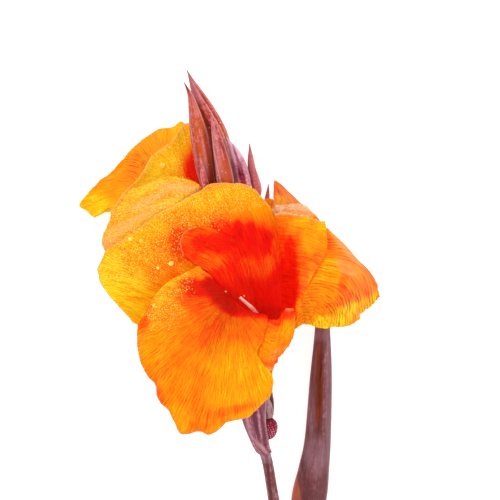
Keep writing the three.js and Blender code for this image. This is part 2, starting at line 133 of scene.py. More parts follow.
def lengths(grid):
    """The longest way out and the longest way across, in millimetres."""
    out = np.linalg.norm(np.diff(grid, axis=0), axis=2).sum(axis=0).max()
    across = np.linalg.norm(np.diff(grid, axis=1), axis=2).sum(axis=1).max()
    return out, across


def ruffled(grid, tip=0.0, waves=3, side=0.0, calm=0.0):
    """Ruffles of some height along the rim (tip) and along both sides (side)."""
    u, v = out_across(grid)
    margin = np.abs(2 * v - 1)
    height = tip * u**4 * np.sin(2 * np.pi * waves * v) * np.clip((v - calm) * 12 + 1, 0, 1)
    height += side * u * margin**4 * np.sin(2 * np.pi * SIDE_WAVES * u)
    return grid + normals(grid) * height[..., None]


def wander(x, seed, waves=(5, 9, 16, 27)):
    """A smooth irregular wave of about unit height along x (0 to 1)."""
    draw = random.Random(seed)
    total = np.zeros_like(x)
    for n in waves:
        total += np.sin(2 * np.pi * (n * x + draw.random())) * (waves[0] / n) ** 0.6
    return total / len(waves) * 1.6


def crinkled(grid, seed, out=0.5, lift=0.5, fold=0.35, vein=0.1, pleat=0.0, calm=0.0):
    """Notches and small folds towards the free margins, soft folds and veins all over.

    Pleats stand close together along the rim, and the margin up to calm stays smooth.
    """
    u, v = out_across(grid)
    width = lengths(grid)[1]
    margin = np.abs(2 * v - 1)
    near_rim, near_side = u**7, margin**8 * np.clip(u * 1.6 - 0.35, 0, 1)
    result = grid + unit(np.gradient(grid, axis=0)) * (out * near_rim * wander(v, seed))[..., None]
    sideways = np.sign(v - 0.5) * out * 0.7 * near_side * wander(u, seed + 1)
    result += unit(np.gradient(grid, axis=1)) * sideways[..., None]
    drift = 0.03 * np.sin(2 * np.pi * (u * 1.3 + seed * 0.37)) * u
    height = lift * (near_rim * wander(v, seed + 2) + near_side * wander(u, seed + 3))
    height += fold * np.clip(u * 1.7 - 0.5, 0, 1) * wander(v + drift, seed + 4, (4, 7, 11, 17))
    height += vein * np.clip(u * 2 - 0.5, 0, 1) * np.sin(2 * np.pi * width / VEIN_PITCH * (v + drift * 0.5))
    gather = wander(v + 0.02 * np.sin(9 * u), seed + 5, (23, 31, 43)) * np.clip(u * 3 - 2, 0, 1)
    height += pleat * gather * (0.6 + 0.4 * wander(v, seed + 6, (3, 5)))
    rough = np.clip((v - calm) * 10 + 1, 0, 1)[..., None] if calm else 1.0
    result = grid + (result - grid) * rough
    return result + normals(grid) * height[..., None] * rough


def daubed(grid, look, feather=0.0):
    """A value for each point. A look is a plain number, or one with strokes over it.

    Strokes are soft ovals: x, y, two radii, the degrees of one that is turned, and its value.
    """
    base, strokes = look if isinstance(look, tuple) else (look, [])
    value = np.full(grid.shape[:2], float(base))
    for x, y, rx, ry, *turn, target in strokes:
        angle = math.radians(sum(turn))
        c, s = math.cos(angle), math.sin(angle)
        dx, dy = grid[..., 0] - x, grid[..., 1] - y
        distance = np.hypot((dx * c + dy * s) / rx, (dy * c - dx * s) / ry) + feather
        amount = np.clip((FADE_END - distance) / FADE, 0, 1)
        value += (target - value) * amount * amount * (3 - 2 * amount)
    return value


def vein_ways(grid, veins):
    """Centimetres across the veins and along them, for each point.

    The veins run "out" from the base or "across" it, in a ("fan", x, y) from a point, or in
    ("rings", x, y) round one, which are squares with round corners.
    """
    u, v = out_across(grid)
    length, width = (way / 10 for way in lengths(grid))
    if veins == "out":
        return np.stack([v * width, u * length], -1)
    if veins == "across":
        return np.stack([u * length, v * width], -1)
    kind, x, y = veins
    dx, dy = grid[..., 0] - x, grid[..., 1] - y
    start, radius = VEIN_START[kind], VEIN_RADIUS[kind]
    turn = (np.arctan2(dy, dx) - math.radians(start)) % (2 * np.pi) * radius / 10
    if kind == "fan":
        return np.stack([turn, np.hypot(dx, dy) / 10], -1)
    return np.stack([np.cbrt(np.abs(dx) ** 3 + np.abs(dy) ** 3) / 10, turn], -1)


# ---------------------------------------------------------------- meshes


def weave(bm, grid, zones, inner=None, veins="out"):
    """Adds a grid of faces in the shape of a grid of points, with its zones and its veins' ways."""
    zone_layer, along = bm.verts.layers.float_color["zones"], bm.loops.layers.uv["along"]
    body = bm.verts.layers.deform.verify() if inner is not None else None
    rows, columns = grid.shape[:2]
    vertices = bmesh.ops.create_grid(bm, x_segments=columns - 1, y_segments=rows - 1, size=1)["verts"]
    where = placed(grid).reshape(-1, 3).tolist()
    colour = zones.reshape(-1, 4).tolist()
    ways = vein_ways(grid, veins).reshape(-1, 2).tolist()
    weights = inner.ravel().tolist() if inner is not None else None
    for i, vertex in enumerate(vertices):
        vertex.co = where[i]
        vertex[zone_layer] = colour[i]
        for loop in vertex.link_loops:
            loop[along].uv = ways[i]
        if body is not None:
            vertex[body][0] = weights[i]


def new_weave():
    bm = bmesh.new()
    bm.verts.layers.float_color.new("zones")
    bm.loops.layers.uv.new("along")
    return bm


def finished(bm, name, material):
    mesh = bpy.data.meshes.new(name)
    bm.to_mesh(mesh)
    bm.free()
    mesh.shade_smooth()
    mesh.materials.append(material)
    piece = bpy.data.objects.new(name, mesh)
    bpy.context.scene.collection.objects.link(piece)
    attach(piece, "root")
    return piece


def replacing(bm, node, material):
    """The finer piece that stands in for a node."""
    piece = finished(bm, node + "_fine", material)
    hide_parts(node)
    return piece


MARGIN = 2.5  # how far in from its free edges a sheet is thinner
MARGIN_SHARE = 0.45  # of its thickness, at the very edge
LOWEST_SHEET = 0.6  # of its thickness: what its middle keeps over the surface
LOWEST_ROD = 0.02
CAP = 0.9  # of a tube's radius: the ring that rounds off its end


def sheet(node, material, grid, zones, thickness, veins="out"):
    """A blade of some thickness, thinner towards its free margins."""
    length, width = lengths(grid)
    u, v = out_across(grid)
    from_edge = np.minimum(np.minimum(v, 1 - v) * width, (1 - u) * length)
    grid = grid.copy()
    grid[..., 2] = np.maximum(grid[..., 2], thickness * LOWEST_SHEET)
    bm = new_weave()
    bm.verts.layers.deform.verify()
    weave(bm, grid, zones, np.clip(from_edge / MARGIN, 0, 1), veins)
    piece = replacing(bm, node, material)
    piece.vertex_groups.new(name="body")
    wall = piece.modifiers.new("wall", "SOLIDIFY")
    wall.thickness = thickness * MM
    wall.offset = 0
    wall.vertex_group = "body"
    wall.thickness_vertex_group = MARGIN_SHARE


def tube(path, radius, sides, steps):
    """The grid of a round body along a path: a ring in each row, closed to a point at both ends."""
    centre = spaced(path, steps)
    forward = unit(np.gradient(centre, axis=0))
    side = unit(np.cross(forward, [0.0, 0.0, 1.0]))
    lift = unit(np.cross(side, forward))
    t, turn = np.meshgrid(np.linspace(0, 1, steps + 1), np.linspace(0, 1, sides + 1), indexing="ij")
    spread, angle = radius(t, turn % 1)[..., None], 2 * np.pi * turn[..., None]
    ring = side[:, None] * spread * np.sin(angle) + lift[:, None] * spread * np.cos(angle)
    rows = centre[:, None] + ring
    ends = [np.repeat(centre[[i]], sides + 1, axis=0)[None] for i in (0, -1)]
    caps = [centre[i] + ring[i] * CAP for i in (0, -1)]
    return np.concatenate([ends[0], caps[:1], rows, caps[1:], ends[1]])


def tube_ways(grid):
    """How far along a tube and how far round it (0 to 1) each point of its grid is."""
    rows, sides = grid.shape[:2]
    t = np.clip((np.arange(rows) - 2) / (rows - 5), 0, 1)
    return np.meshgrid(t, np.linspace(0, 1, sides), indexing="ij")


def rods(node, material, grids, zones):
    """One piece of round bodies."""
    bm = new_weave()
    for grid, zone in zip(grids, zones):
        grid = grid.copy()
        grid[..., 2] = np.maximum(grid[..., 2], LOWEST_ROD)
        weave(bm, grid, zone)
    bmesh.ops.remove_doubles(bm, verts=bm.verts, dist=1e-7)
    bmesh.ops.recalc_face_normals(bm, faces=bm.faces)
    replacing(bm, node, material)


# ---------------------------------------------------------------- shader maths


class Value:
    """A node's output that arithmetic can be done with."""

    def __init__(self, paint, socket):
        self.paint, self.socket = paint, socket

    def math(self, operation, *others, **settings):
        inputs = dict(enumerate((self,) + others))
        return self.paint.node("Math", {"operation": operation, **settings}, inputs)

    def __add__(self, other):
        return self.math("ADD", other)

    def __sub__(self, other):
        return self.math("SUBTRACT", other)

    def __rsub__(self, other):
        return self.math("MULTIPLY", -1.0).math("ADD", other)

    def __mul__(self, other):
        return self.math("MULTIPLY", other)

    def __pow__(self, other):
        return self.math("POWER", other)

    __radd__, __rmul__ = __add__, __mul__

    def sine(self):
        return self.math("SINE")

    def clamped(self):
        return self.math("ADD", 0.0, use_clamp=True)

    def swing(self, amount):
        """A noise's swing about its middle."""
        return (self - 0.5) * amount

    def over(self, low, high):
        """0 below low, 1 above high, smooth between."""
        ends = {"Value": self, "From Min": low, "From Max": high}
        return self.paint.node("MapRange", {"interpolation_type": "SMOOTHSTEP"}, ends, "Result")


class Paint:
    """A material's node tree with the few things that every finish here is made of."""

    def __init__(self, name):
        self.material = bpy.data.materials.new(name)
        self.material.use_nodes = True
        self.tree = self.material.node_tree
        self.surface = self.tree.nodes["Principled BSDF"]

    def node(self, kind, settings=None, inputs=None, output=0):
        made = self.tree.nodes.new("ShaderNode" + kind)
        for key, setting in (settings or {}).items():
            if key == "stops":
                band = made.color_ramp.elements
                for element, (position, colour) in zip(list(band), (setting[0], setting[-1])):
                    element.position, element.color = position, (*colour, 1.0)
                for position, colour in setting[1:-1]:
                    band.new(position).color = (*colour, 1.0)
            else:
                setattr(made, key, setting)
        for key, value in (inputs or {}).items():
            self.feed(made.inputs[key], value)
        return Value(self, made.outputs[output])

    def feed(self, socket, value):
        if isinstance(value, Value):
            self.tree.links.new(value.socket, socket)
        elif isinstance(value, tuple) and len(value) == 3 and socket.type == "RGBA":
            socket.default_value = (*value, 1.0)
        else:
            socket.default_value = value

    def parts(self, kind, value, names):
        made = self.node(kind, {}, {0: value}).socket.node
        return [Value(self, made.outputs[name]) for name in names]

    def along(self):
        """Centimetres across, and centimetres out."""
        return self.parts("SeparateXYZ", self.node("UVMap", {"uv_map": "along"}), ("X", "Y"))

    def zones(self):
        made = self.node("Attribute", {"attribute_name": "zones"}, {}, "Color")
        three = self.parts("SeparateColor", made, ("Red", "Green", "Blue"))
        return three + [Value(self, made.socket.node.outputs["Alpha"])]

    def vector(self, x, y, z=0.0):
        return self.node("CombineXYZ", {}, {0: x, 1: y, 2: z})

    def place(self):
        return self.node("TexCoord", {}, {}, "Object")

    def noise(self, vector, scale=1.0, detail=2.0):
        return self.node("TexNoise", {}, {"Vector": vector, "Scale": scale, "Detail": detail})

    def strands(self, ways, fine, long, place=0.0, detail=2.0, drift=None):
        """Noise drawn out along the ways: so fine and so long to the centimetre."""
        across = ways[0] * fine + drift if drift else ways[0] * fine
        return self.noise(self.vector(across, ways[1] * long, place), 1.0, detail)

    def cells(self, vector, scale):
        return self.node("TexVoronoi", {}, {"Vector": vector, "Scale": scale}, "Distance")

    def mix(self, factor, a, b):
        return self.node("Mix", {"data_type": "RGBA"}, {0: factor, 6: a, 7: b}, 2)

    def ramp(self, value, stops):
        """Stops rise from the first to the last, each a position and its colour."""
        return self.node("ValToRGB", {"stops": stops}, {0: value}, "Color")

    def finish(self, colour, roughness, relief=None, depth=0.2, **constants):
        """Relief is a height of about 0 to 1, depth its size in millimetres."""
        self.feed(self.surface.inputs["Base Color"], colour)
        self.feed(self.surface.inputs["Roughness"], roughness)
        if relief is not None:
            bump = self.node("Bump", {}, {"Height": relief, "Distance": depth * MM, "Strength": 1.0})
            self.feed(self.surface.inputs["Normal"], bump)
        for name, value in constants.items():
            self.surface.inputs[name.replace("_", " ")].default_value = value
        return self.material


def shade(red, green, blue):
    """A colour from its screen numbers (0 to 255)."""
    return tuple(
        c / 12.92 if c <= 0.04045 else ((c + 0.055) / 1.055) ** 2.4
        for c in (red / 255, green / 255, blue / 255)
    )


# ---------------------------------------------------------------- petals' finish


def stops(*rows):
    return [(position, shade(*colour)) for position, *colour in rows]


# Yellow steps to gold at 0.1, and every skin below steps down at 0.3, which draws their streaks.
# Past 0.94 the ramp darkens into painted shade, for the deepest hollow of the front flower's throat.
PETAL_HEAT = stops(
    (0.0, 252, 212, 24), (0.0999, 245, 202, 22), (0.1, 250, 186, 6), (0.2, 250, 164, 0),
    (0.36, 250, 140, 4), (0.5, 248, 112, 4), (0.62, 246, 78, 4), (0.75, 243, 25, 2),
    (0.88, 234, 2, 0), (0.94, 231, 2, 0), (1.0, 202, 0, 0),
)
VEIN = shade(230, 84, 0)
BROWN_VEIN = shade(160, 82, 0)
RED_VEIN = shade(190, 34, 0)
# Painted sheen: pale pink, and near white where strongest, for highlights where folds, ridges and rims
# catch the light.
PAINTED_SHEEN = shade(252, 178, 110)
PAINTED_SHEEN_WHITE = shade(255, 226, 196)
# Painted light on the dew: a pale glint on each bead, and shade in the gaps between beads.
DEW_GLINT = shade(255, 226, 84)
DEW_SHADE = shade(222, 132, 10)


def petal_paint():
    """Zones: heat from yellow to crimson, darkening past 0.94 into painted shade; strength of the creases;
    painted sheen, pale pink highlights where folds, ridges and rims catch the light; dew.
    """
    paint = Paint("petal")
    ways = paint.along()
    heat, crease, blush, dew = paint.zones()
    here = paint.place()
    drift = paint.strands(ways, 1.2, 0.9)
    fibre = paint.strands(ways, 14.0, 0.9, 0.0, 4.0, drift * 2.0)
    streak = paint.strands(ways, 24.0, 1.1, 5.0, 2.0, drift * 4.0)
    ray = paint.strands(ways, 4.5, 0.45, 7.0, 3.0, drift * 1.5)
    mottle = paint.noise(here, 110.0, 4.0)
    grain = paint.noise(here, 1500.0, 1.0)
    line = ((ways[0] * 42.0 + drift * 16.0).sine() * 0.5 + 0.5) ** 5.0 * streak.over(0.36, 0.58)
    vein = paint.strands(ways, 8.0, 0.7, 9.0, 1.0, drift * 5.0)
    branch = (vein - 0.5).math("ABSOLUTE").math("MULTIPLY", -16.0).math("ADD", 1.0).clamped()
    line = line * 0.7 + branch * streak.over(0.35, 0.6) * 0.6
    warm = heat + fibre.swing(crease * 0.15 + 0.35) + mottle.swing(0.3)
    warm = warm + grain.swing(dew * 0.4 + 0.25) + ray.swing(0.27)
    warm = warm + line * crease * 0.2
    colour = paint.ramp(warm, PETAL_HEAT)
    dark = paint.mix(heat.over(0.18, 0.36), BROWN_VEIN, RED_VEIN)
    lines = paint.mix(crease.over(0.9, 1.8), VEIN, dark)
    colour = paint.mix((line * crease * 0.45).clamped(), colour, lines)
    # Painted sheen: highlights laid in pale pink, then near white where they are strongest.
    pale = (blush + fibre.swing(0.8) * blush + grain.swing(blush)).clamped() * 0.85
    colour = paint.mix(pale, colour, PAINTED_SHEEN)
    colour = paint.mix(pale.over(0.6, 0.9) * 0.7, colour, PAINTED_SHEEN_WHITE)
    # Painted shade in the gaps between the dew beads, then a painted glint on each bead.
    cells = paint.cells(here, 800.0)
    specks = 1.0 - cells.over(0.16, 0.44)
    colour = paint.mix(cells.over(0.45, 0.75) * dew * 0.3, colour, DEW_SHADE)
    colour = paint.mix(specks * dew * 0.6, colour, DEW_GLINT)
    relief = line * crease * -0.6 + fibre * 0.7 + ray * 1.2 + grain * 0.25 + specks * dew * 0.8
    # Painted light: the petals glow faintly in their own colour, standing in for light coming through them.
    paint.feed(paint.surface.inputs["Emission Color"], colour)
    glow = dict(Subsurface_Weight=0.2, Subsurface_Scale=0.0015, Emission_Strength=0.04)
    return paint.finish(colour, 0.5, relief, 0.3, Specular_IOR_Level=0.06, **glow)


PETAL = petal_paint()

# ---------------------------------------------------------------- flowers' own frames

SEAT_GAP = 0.3
TUBE_RADIUS = 3.1
CLAW_RADIUS = 2.3
CLAW_FLARE = 6.4
CLAW_LENGTH = 16.0
CLAW_FOOT = SEAT_GAP + 0.2  # how far over the mouth the claws start
TUBE_BEND = 3.0  # how far under the mouth a tube bends
PETAL_THICKNESS = 0.55
SEPAL_THICKNESS = 0.8
SEPAL_SEAT = 0.45  # half the thickness of a plain sepal
ROWS, COLUMNS = (60, 120), (60, 210)  # the fewest and the most that a blade's grid has
COLUMN_WIDTH = 0.8
SURVEY = 30  # rows and columns that a blade is first measured with


class Flower:
    """Angles go round the tube from its back, which faces the surface, by the flower's left."""

    def __init__(self, ovary, mouth, throat):
        self.ovary, self.mouth = np.array(ovary, float), np.array(mouth, float)
        self.axis = unit(np.array(throat, float) - self.mouth)
        back = np.array([0.0, 0.0, -1.0])
        self.back = unit(back - self.axis * back.dot(self.axis))
        self.left = np.cross(self.axis, self.back)
        self.bend = self.mouth - TUBE_BEND * self.axis

    def point(self, degrees, radius, height):
        angle = math.radians(degrees)
        outward = self.back * math.cos(angle) + self.left * math.sin(angle)
        return self.mouth + self.axis * height + outward * radius

    def arc(self, centre, width, radius, height):
        return [self.point(centre + side * width / 2, radius, height) for side in (1, 0, -1)]


FLOWERS = {
    "front": Flower([9.2, -84.5, 43], [4.5, -68, 51], [5, -40, 66]),
    "left": Flower([-14.5, 1.5, 46.3], [-20, 9, 47], [-32, 26, 49]),
    "right": Flower([7.4, -19.5, 44], [11.5, -13, 44.6], [20, 0, 46]),
}

surfaces = []


def blade(name, sector, ribs, ruffle, crinkle, hem=(0.0, 1.0), veins="out", **look):
    """Sets a blade on its sector of the tube's mouth, with its ribs from base to rim.

    The look is its heat, crease, painted sheen and dew; the hem is how strong a painted highlight along its
    rim is, and how wide.
    """
    number, flower = len(surfaces), FLOWERS[name.split("_")[0]]
    base = [flower.arc(*sector, CLAW_RADIUS, CLAW_FOOT), flower.arc(*sector, CLAW_FLARE, CLAW_LENGTH)]
    ribs = base + ribs
    length, width = lengths(loft(ribs, SURVEY, SURVEY))
    rows, columns = int(np.clip(length, *ROWS)), int(np.clip(width / COLUMN_WIDTH, *COLUMNS))
    grid = crinkled(ruffled(loft(ribs, rows, columns), **ruffle), 100 * number, **crinkle)
    u, v = out_across(grid)
    feather = 0.1 * wander(v, number, (9, 17, 31, 47))
    keys = ("heat", "crease", "blush", "dew")
    zones = np.stack([daubed(grid, look.get(k, 0.0), feather) for k in keys], -1)
    # The hem: a painted highlight along the rim, put into the sheen zone.
    pale = hem[0] * np.clip(1 - (1 - u) * length / hem[1] + 0.3 * wander(v, number + 50), 0, 1)
    zones[..., 2] = np.maximum(zones[..., 2], pale)
    sheet(name, PETAL, grid, zones, PETAL_THICKNESS, veins)
    surfaces.append((grid, zones))


blade(
    "front_banner",
    sector=(8, 84),
    ruffle=dict(tip=1.0, waves=5, side=0.5),
    crinkle=dict(out=0.45, lift=0.4, fold=0.55),
    ribs=[
        [[-20, -34, 64], [-10, -24, 60], [2, -25, 57], [12, -30, 55.5], [19, -36, 55]],
        [[-42, -42, 66], [-32, -12, 63], [-5, 0, 59], [13, 2, 59], [22, -8, 58]],
        [[-58.8, -36.2, 70], [-65.6, -28.2, 71], [-73.8, -17.8, 71], [-75.7, -12.4, 70.5],
         [-76.7, -9.8, 70], [-75.6, -7.3, 70], [-73.6, -3.8, 69], [-71, 0.5, 67.5], [-58, 9.5, 64.5],
         [-42, 20.5, 63], [-25, 29.8, 62.5], [-20, 33, 63], [-10, 33.4, 63.6],
         [-5, 33.5, 64], [0.3, 31.6, 64.5], [4.7, 28.6, 65],
         [10, 21, 66], [17, 12, 62]],
    ],
    # Strokes over 0.94 are painted shade in the throat's hollow.
    heat=(0.33, [
        (-68, -9, 15, 20, 0.0), (-55, -28, 14, 14, 0.07), (-57, -4, 8, 8, 0.22), (-54, 7, 14, 6, 35, 0.15),
        (-6, 24, 26, 8, 0.14), (2, 21, 8, 4, 0.06), (-41, 24, 20, 4.5, 30, 0.08), (-8, -6, 35, 27, 0.46),
        (-36, 5, 4.5, 7, 0.66), (-5, -11, 29, 24, 0.76), (-6, 5, 18, 8, 0.8), (-2, -10, 12, 6, 0.66),
        (12, -4, 5, 8, 0.6), (-32, -9, 6, 3.5, 0.34), (-17.5, 8.5, 2.6, 6, 0.86), (-11.5, 8.5, 2, 5, 0.82),
        (-6, 8.5, 2.6, 6.5, 0.88), (0.5, 7, 2.4, 6, 0.86), (9, 3.5, 2.6, 5.5, 0.88), (8, -27, 20, 10, 0.89),
        (15.5, -19, 5, 13, 0.88), (9, -33, 12, 4, 1.12), (14, 0, 4, 7, 0.66), (-66, 3, 12, 4, 40, 0.12),
    ]),
    crease=(0.5, [(-62, -12, 18, 24, 0.9)]),
    hem=(0.7, 1.4),
    dew=(0.0, [(-45, 6, 30, 16, 30, 1.0), (-15, 26, 26, 7, 8, 0.8)]),
)
blade(
    "front_right_wing",
    sector=(-66, 46),
    ruffle=dict(tip=0.8, waves=2),
    crinkle=dict(out=0.22, lift=0.4, fold=0.3),
    ribs=[
        [[14.5, -36, 61], [20, -37, 67], [22, -38, 76]],
        [[16, -16, 62], [22, -16, 72], [24.5, -17, 79], [28.5, -18, 76]],
        [[15, 0, 63.5], [20, 0, 70], [25, 0, 77], [31, -1, 75], [37.5, -2, 70]],
        [[14, 10, 66.5], [20, 10, 72], [26, 10, 74], [32, 9, 73], [38.3, 8, 70]],
        [[12.5, 18, 68], [18, 18.5, 69.5], [25, 17.5, 70], [32, 15.5, 69], [37.5, 14.5, 68]],
    ],
    heat=(0.36, [
        (38, 12, 6, 5, 0.14), (18, -8, 11, 30, 0.54), (17, -19, 7.5, 17, 0.88), (16, 6, 5, 5, 0.64),
        (31, -10, 5, 10, 0.46), (22, 8, 4, 5, 0.46), (20.3, -2, 3, 9, 0.8), (27, -29, 4, 6, 0.3),
        (29, 14, 8, 3, 0.16), (30, 6, 4, 8, 0.26), (31, -20, 5, 8, 0.26), (25.5, -36, 4.5, 5, 0.38),
        (27, -19, 2.2, 18, 0.52), (20.5, -18, 2.5, 13, 0.9),
    ]),
    crease=0.8,
    veins="across",
    hem=(1.1, 1.2),
)
blade(
    "front_lip",
    sector=(168, 70),
    ruffle=dict(tip=1.4, waves=5, side=0.8),
    crinkle=dict(out=0.7, lift=0.5, fold=0.7),
    ribs=[
        [[-16, -24, 71], [-6, -34, 72], [6, -38, 71]],
        [[-23.5, -9, 78], [-12.5, -21.5, 82], [-2.5, -30, 84], [9, -33, 82.6]],
        [[-30, -10, 80], [-27, -24, 86], [-14, -38, 90], [0, -44, 90.4], [6.8, -44, 87.6]],
        [[-43, -18, 79], [-44, -36, 85], [-29, -58, 90], [-10, -64, 91], [3.6, -52, 87.6]],
        [[-56, -37, 77], [-56.6, -44, 77], [-55.4, -52, 78], [-52.2, -61, 79], [-48, -66.5, 80],
         [-46.5, -73, 80], [-40.5, -80, 80], [-34.5, -92, 78], [-26, -90, 79], [-19, -92, 78],
         [-11, -86, 80], [-4.5, -84, 80], [5, -78.5, 80], [10, -72.5, 82], [12, -66, 84],
         [11, -61.5, 86]],
    ],
    # Strokes over 0.94 are painted shade in the throat's hollow and along the lip's inner edge.
    heat=(0.37, [
        (-4, -66, 16, 18, 0.2), (9, -62, 5, 8, 0.13), (-41.5, -21, 9, 16, -30, 0.15),
        (-29, -39, 6, 8, -30, 0.46), (-47, -40, 5, 14, 10, 0.26), (-49, -52, 5, 8, 15, 0.24),
        (-8, -38, 20, 8, -12, 0.48), (-17, -37, 4.5, 14, -32, 0.54), (-25, -27, 15, 5.4, -20, 0.56),
        (-15, -25.5, 8, 4, -40, 0.76), (-27, -18.7, 8, 4.2, -15, 0.86), (-16, -21, 9, 4.2, -48, 1.1),
        (-11, -27, 8, 3.2, -42, 1.15), (8, -31, 13, 4, 0.7), (6, -29.5, 14, 3.5, 0.95),
        (-39, -31, 6, 5, -30, 0.36), (-53.5, -36, 4, 3, 0.55), (-52, -30, 4.5, 4, 0.44),
        (-48, -71, 4.5, 8, 25, 0.54), (-41, -83, 3.5, 4, 0.54), (-12, -80.5, 14, 2.4, 15, 0.46),
        (-25, -87.5, 8, 2.4, 0.46), (-13, -87.5, 9, 1.6, 15, 0.26), (-36, -80, 4, 7, 20, 0.25),
        (-33, -88, 3, 3, 0.2),
    ]),
    crease=(0.9, [(-16, -40, 9, 14, -28, 1.35), (-50, -50, 10, 20, 1.1)]),
    veins=("fan", -9, -22),
    hem=(0.3, 0.8),
    dew=(0.0, [(-41, -22, 11, 16, -30, 0.8), (-22, -30, 14, 6, -25, 0.06)]),
)
blade(
    "front_lip_lobe",
    sector=(-122, 40),
    ruffle=dict(tip=0.8, waves=2),
    crinkle=dict(out=0.4, lift=0.5, fold=0.6, pleat=0.35),
    veins="across",
    ribs=[
        [[7, -41, 71], [11, -42, 70], [14, -43, 68]],
        [[8.5, -34.5, 81], [12, -35, 80.5], [15.5, -34.2, 80], [18.3, -29.4, 79], [22, -30.5, 77.5]],
        [[4, -44, 86.5], [13, -44, 85.5], [22, -41.5, 79.5]],
        [[-0.5, -55, 86], [5.5, -59.5, 84], [10.6, -60, 81], [14.3, -54.5, 79.5], [16.6, -51, 79],
         [19.4, -44.3, 78]],
    ],
    heat=(0.42, [
        (10, -35.5, 10, 4, 0.68), (19, -31, 4, 3.5, 0.68), (11, -48, 9, 8, 0.34), (7, -40, 4.5, 4, 0.46),
        (18, -40, 3, 5, 0.28), (10, -57, 8, 2.5, 30, 0.48),
    ]),
    crease=0.8,
    # Painted sheen: pale highlights on the lobe's crumpled folds.
    blush=(0.0, [
        (19.5, -29, 4, 1.2, 0.6), (8, -58, 5, 0.8, -35, 0.45), (14, -50, 4, 0.8, 20, 0.35),
        (12, -54, 4, 0.6, 0.35),
    ]),
)
blade(
    "front_stamen_blade",
    sector=(88, 44),
    ruffle=dict(tip=0.5, waves=1),
    crinkle=dict(out=0.2, lift=0.25, fold=0.3),
    ribs=[
        [[-6, -36, 66], [-2, -34, 61], [3, -32, 57.8]],
        [[-18, -14, 69], [-12, -8, 64], [-4, 2, 59.4]],
        [[-31, -5, 71], [-28, 3, 67], [-20, 11, 62.2]],
        [[-33.5, -3, 73.5], [-35.2, 3, 72.5], [-33, 8.5, 70], [-27, 11.5, 67]],
    ],
    # Strokes over 0.94 are painted shade in the throat's hollow, under the stamen's lower margin.
    heat=(0.76, [
        (-32, 4, 5, 10, 0.6), (-24, 3, 6, 3, 0.84), (-21, -6, 9, 4.5, 10, 0.58), (-25, 11, 9, 3.2, 0.54),
        (-12, 4, 6, 5, 30, 0.84), (-2, -22, 12, 9, 0.88), (-2, -9, 5, 5, 0.67),
        (-15, -20.5, 11, 4, -45, 0.98), (-8, -27.5, 11, 3, -45, 1.05),
    ]),
    hem=(0.5, 0.7),
    crease=0.8,
    dew=(0.0, [(-26, 2, 8, 6, 0.06)]),
)
blade(
    "left_outer_blade",
    sector=(42, 70),
    ruffle=dict(tip=1.0, waves=4),
    crinkle=dict(out=0.28, lift=0.4, fold=0.5),
    ribs=[
        [[-48, 16, 32], [-48, 29, 29], [-36, 40, 31]],
        [[-64, 19, 17], [-64, 32, 11], [-50, 46, 14], [-36, 54, 29]],
        [[-72, 19.5, 6], [-76.7, 20.4, 4], [-78.6, 16.9, 3], [-82, 19, 1], [-87.3, 22.5, -1],
         [-84.4, 26.7, -1.5], [-77.4, 33, -1.5], [-70.5, 40.8, -1.5], [-61.6, 48.7, -1],
         [-54.4, 56.5, 4], [-47, 60.7, 13], [-39, 62.2, 22], [-35, 65, 26], [-31, 62, 29]],
    ],
    heat=(0.27, [
        (-58, 42, 13, 5, 45, 0.33), (-55, 36, 10, 4, 45, 0.33), (-81, 22, 12, 8, 0.08),
        (-38, 60, 8, 6, 0.16),
    ]),
    crease=(0.6, [(-55, 44, 10, 6, 45, 1.6)]),
)
blade(
    "left_banner",
    sector=(-48, 76),
    ruffle=dict(tip=0.8, waves=3),
    crinkle=dict(out=0.4, lift=0.35, fold=0.4),
    ribs=[
        [[-46, 20, 44], [-40, 32, 42], [-22.5, 33, 43]],
        [[-60, 16, 48], [-52, 34, 43], [-36, 49, 41], [-23, 46, 43.5]],
        [[-66, 14, 50], [-70, 18.5, 49], [-65, 26.5, 47], [-58.5, 33.5, 46], [-53.3, 40.5, 45],
         [-49.1, 47.4, 44], [-43, 51.5, 43], [-37, 58.6, 43], [-34.6, 61.6, 42.5], [-31.5, 63.8, 42],
         [-28, 63, 42.5], [-26.5, 59, 43.5]],
    ],
    heat=(0.09, [
        (-30, 46, 8, 15, 0.12), (-28, 40, 7.5, 13, 0.42), (-26, 38.5, 6, 11, 9, 0.88),
        (-51, 38, 6, 10, -40, 0.02),
    ]),
    crease=0.3,
    hem=(0.65, 2.2),
    dew=(0.65, [(-28, 43, 7, 15, 0.1)]),
)
blade(
    "left_lip",
    sector=(150, 80),
    ruffle=dict(tip=1.0, waves=4),
    crinkle=dict(out=0.5, lift=0.6, fold=0.6),
    ribs=[
        [[-36, 6, 54.5], [-38, 20, 60], [-24.5, 31.5, 60.3]],
        [[-50, -4, 58], [-54, 14, 61.7], [-39, 37, 58]],
        [[-62, -8, 60], [-70, -3, 59.5], [-74, 2.5, 58], [-73.5, 7, 57], [-73, 10, 56.5],
         [-70, 16, 56], [-66, 22, 55.5], [-60, 29, 55], [-50, 34.5, 55.5]],
    ],
    heat=(0.2, [(-52, 34, 16, 5, 20, 0.08), (-66, 16, 6, 12, 0.14), (-45, 20, 14, 3, 30, 0.04)]),
    crease=0.7,
    hem=(0.6, 1.2),
    # Painted sheen: pale pink highlights along the fold ridges.
    blush=(0.1, [
        (-34, 31, 12, 2.4, -6, 0.7), (-50, 25, 12, 2, 28, 0.7), (-58, 14, 14, 2.4, 34, 0.75),
        (-70, 3, 6, 4, 0.7), (-48, 19, 16, 1.4, 32, 0.5), (-68, 11, 5, 1.6, 40, 0.6),
    ]),
    dew=1.0,
)
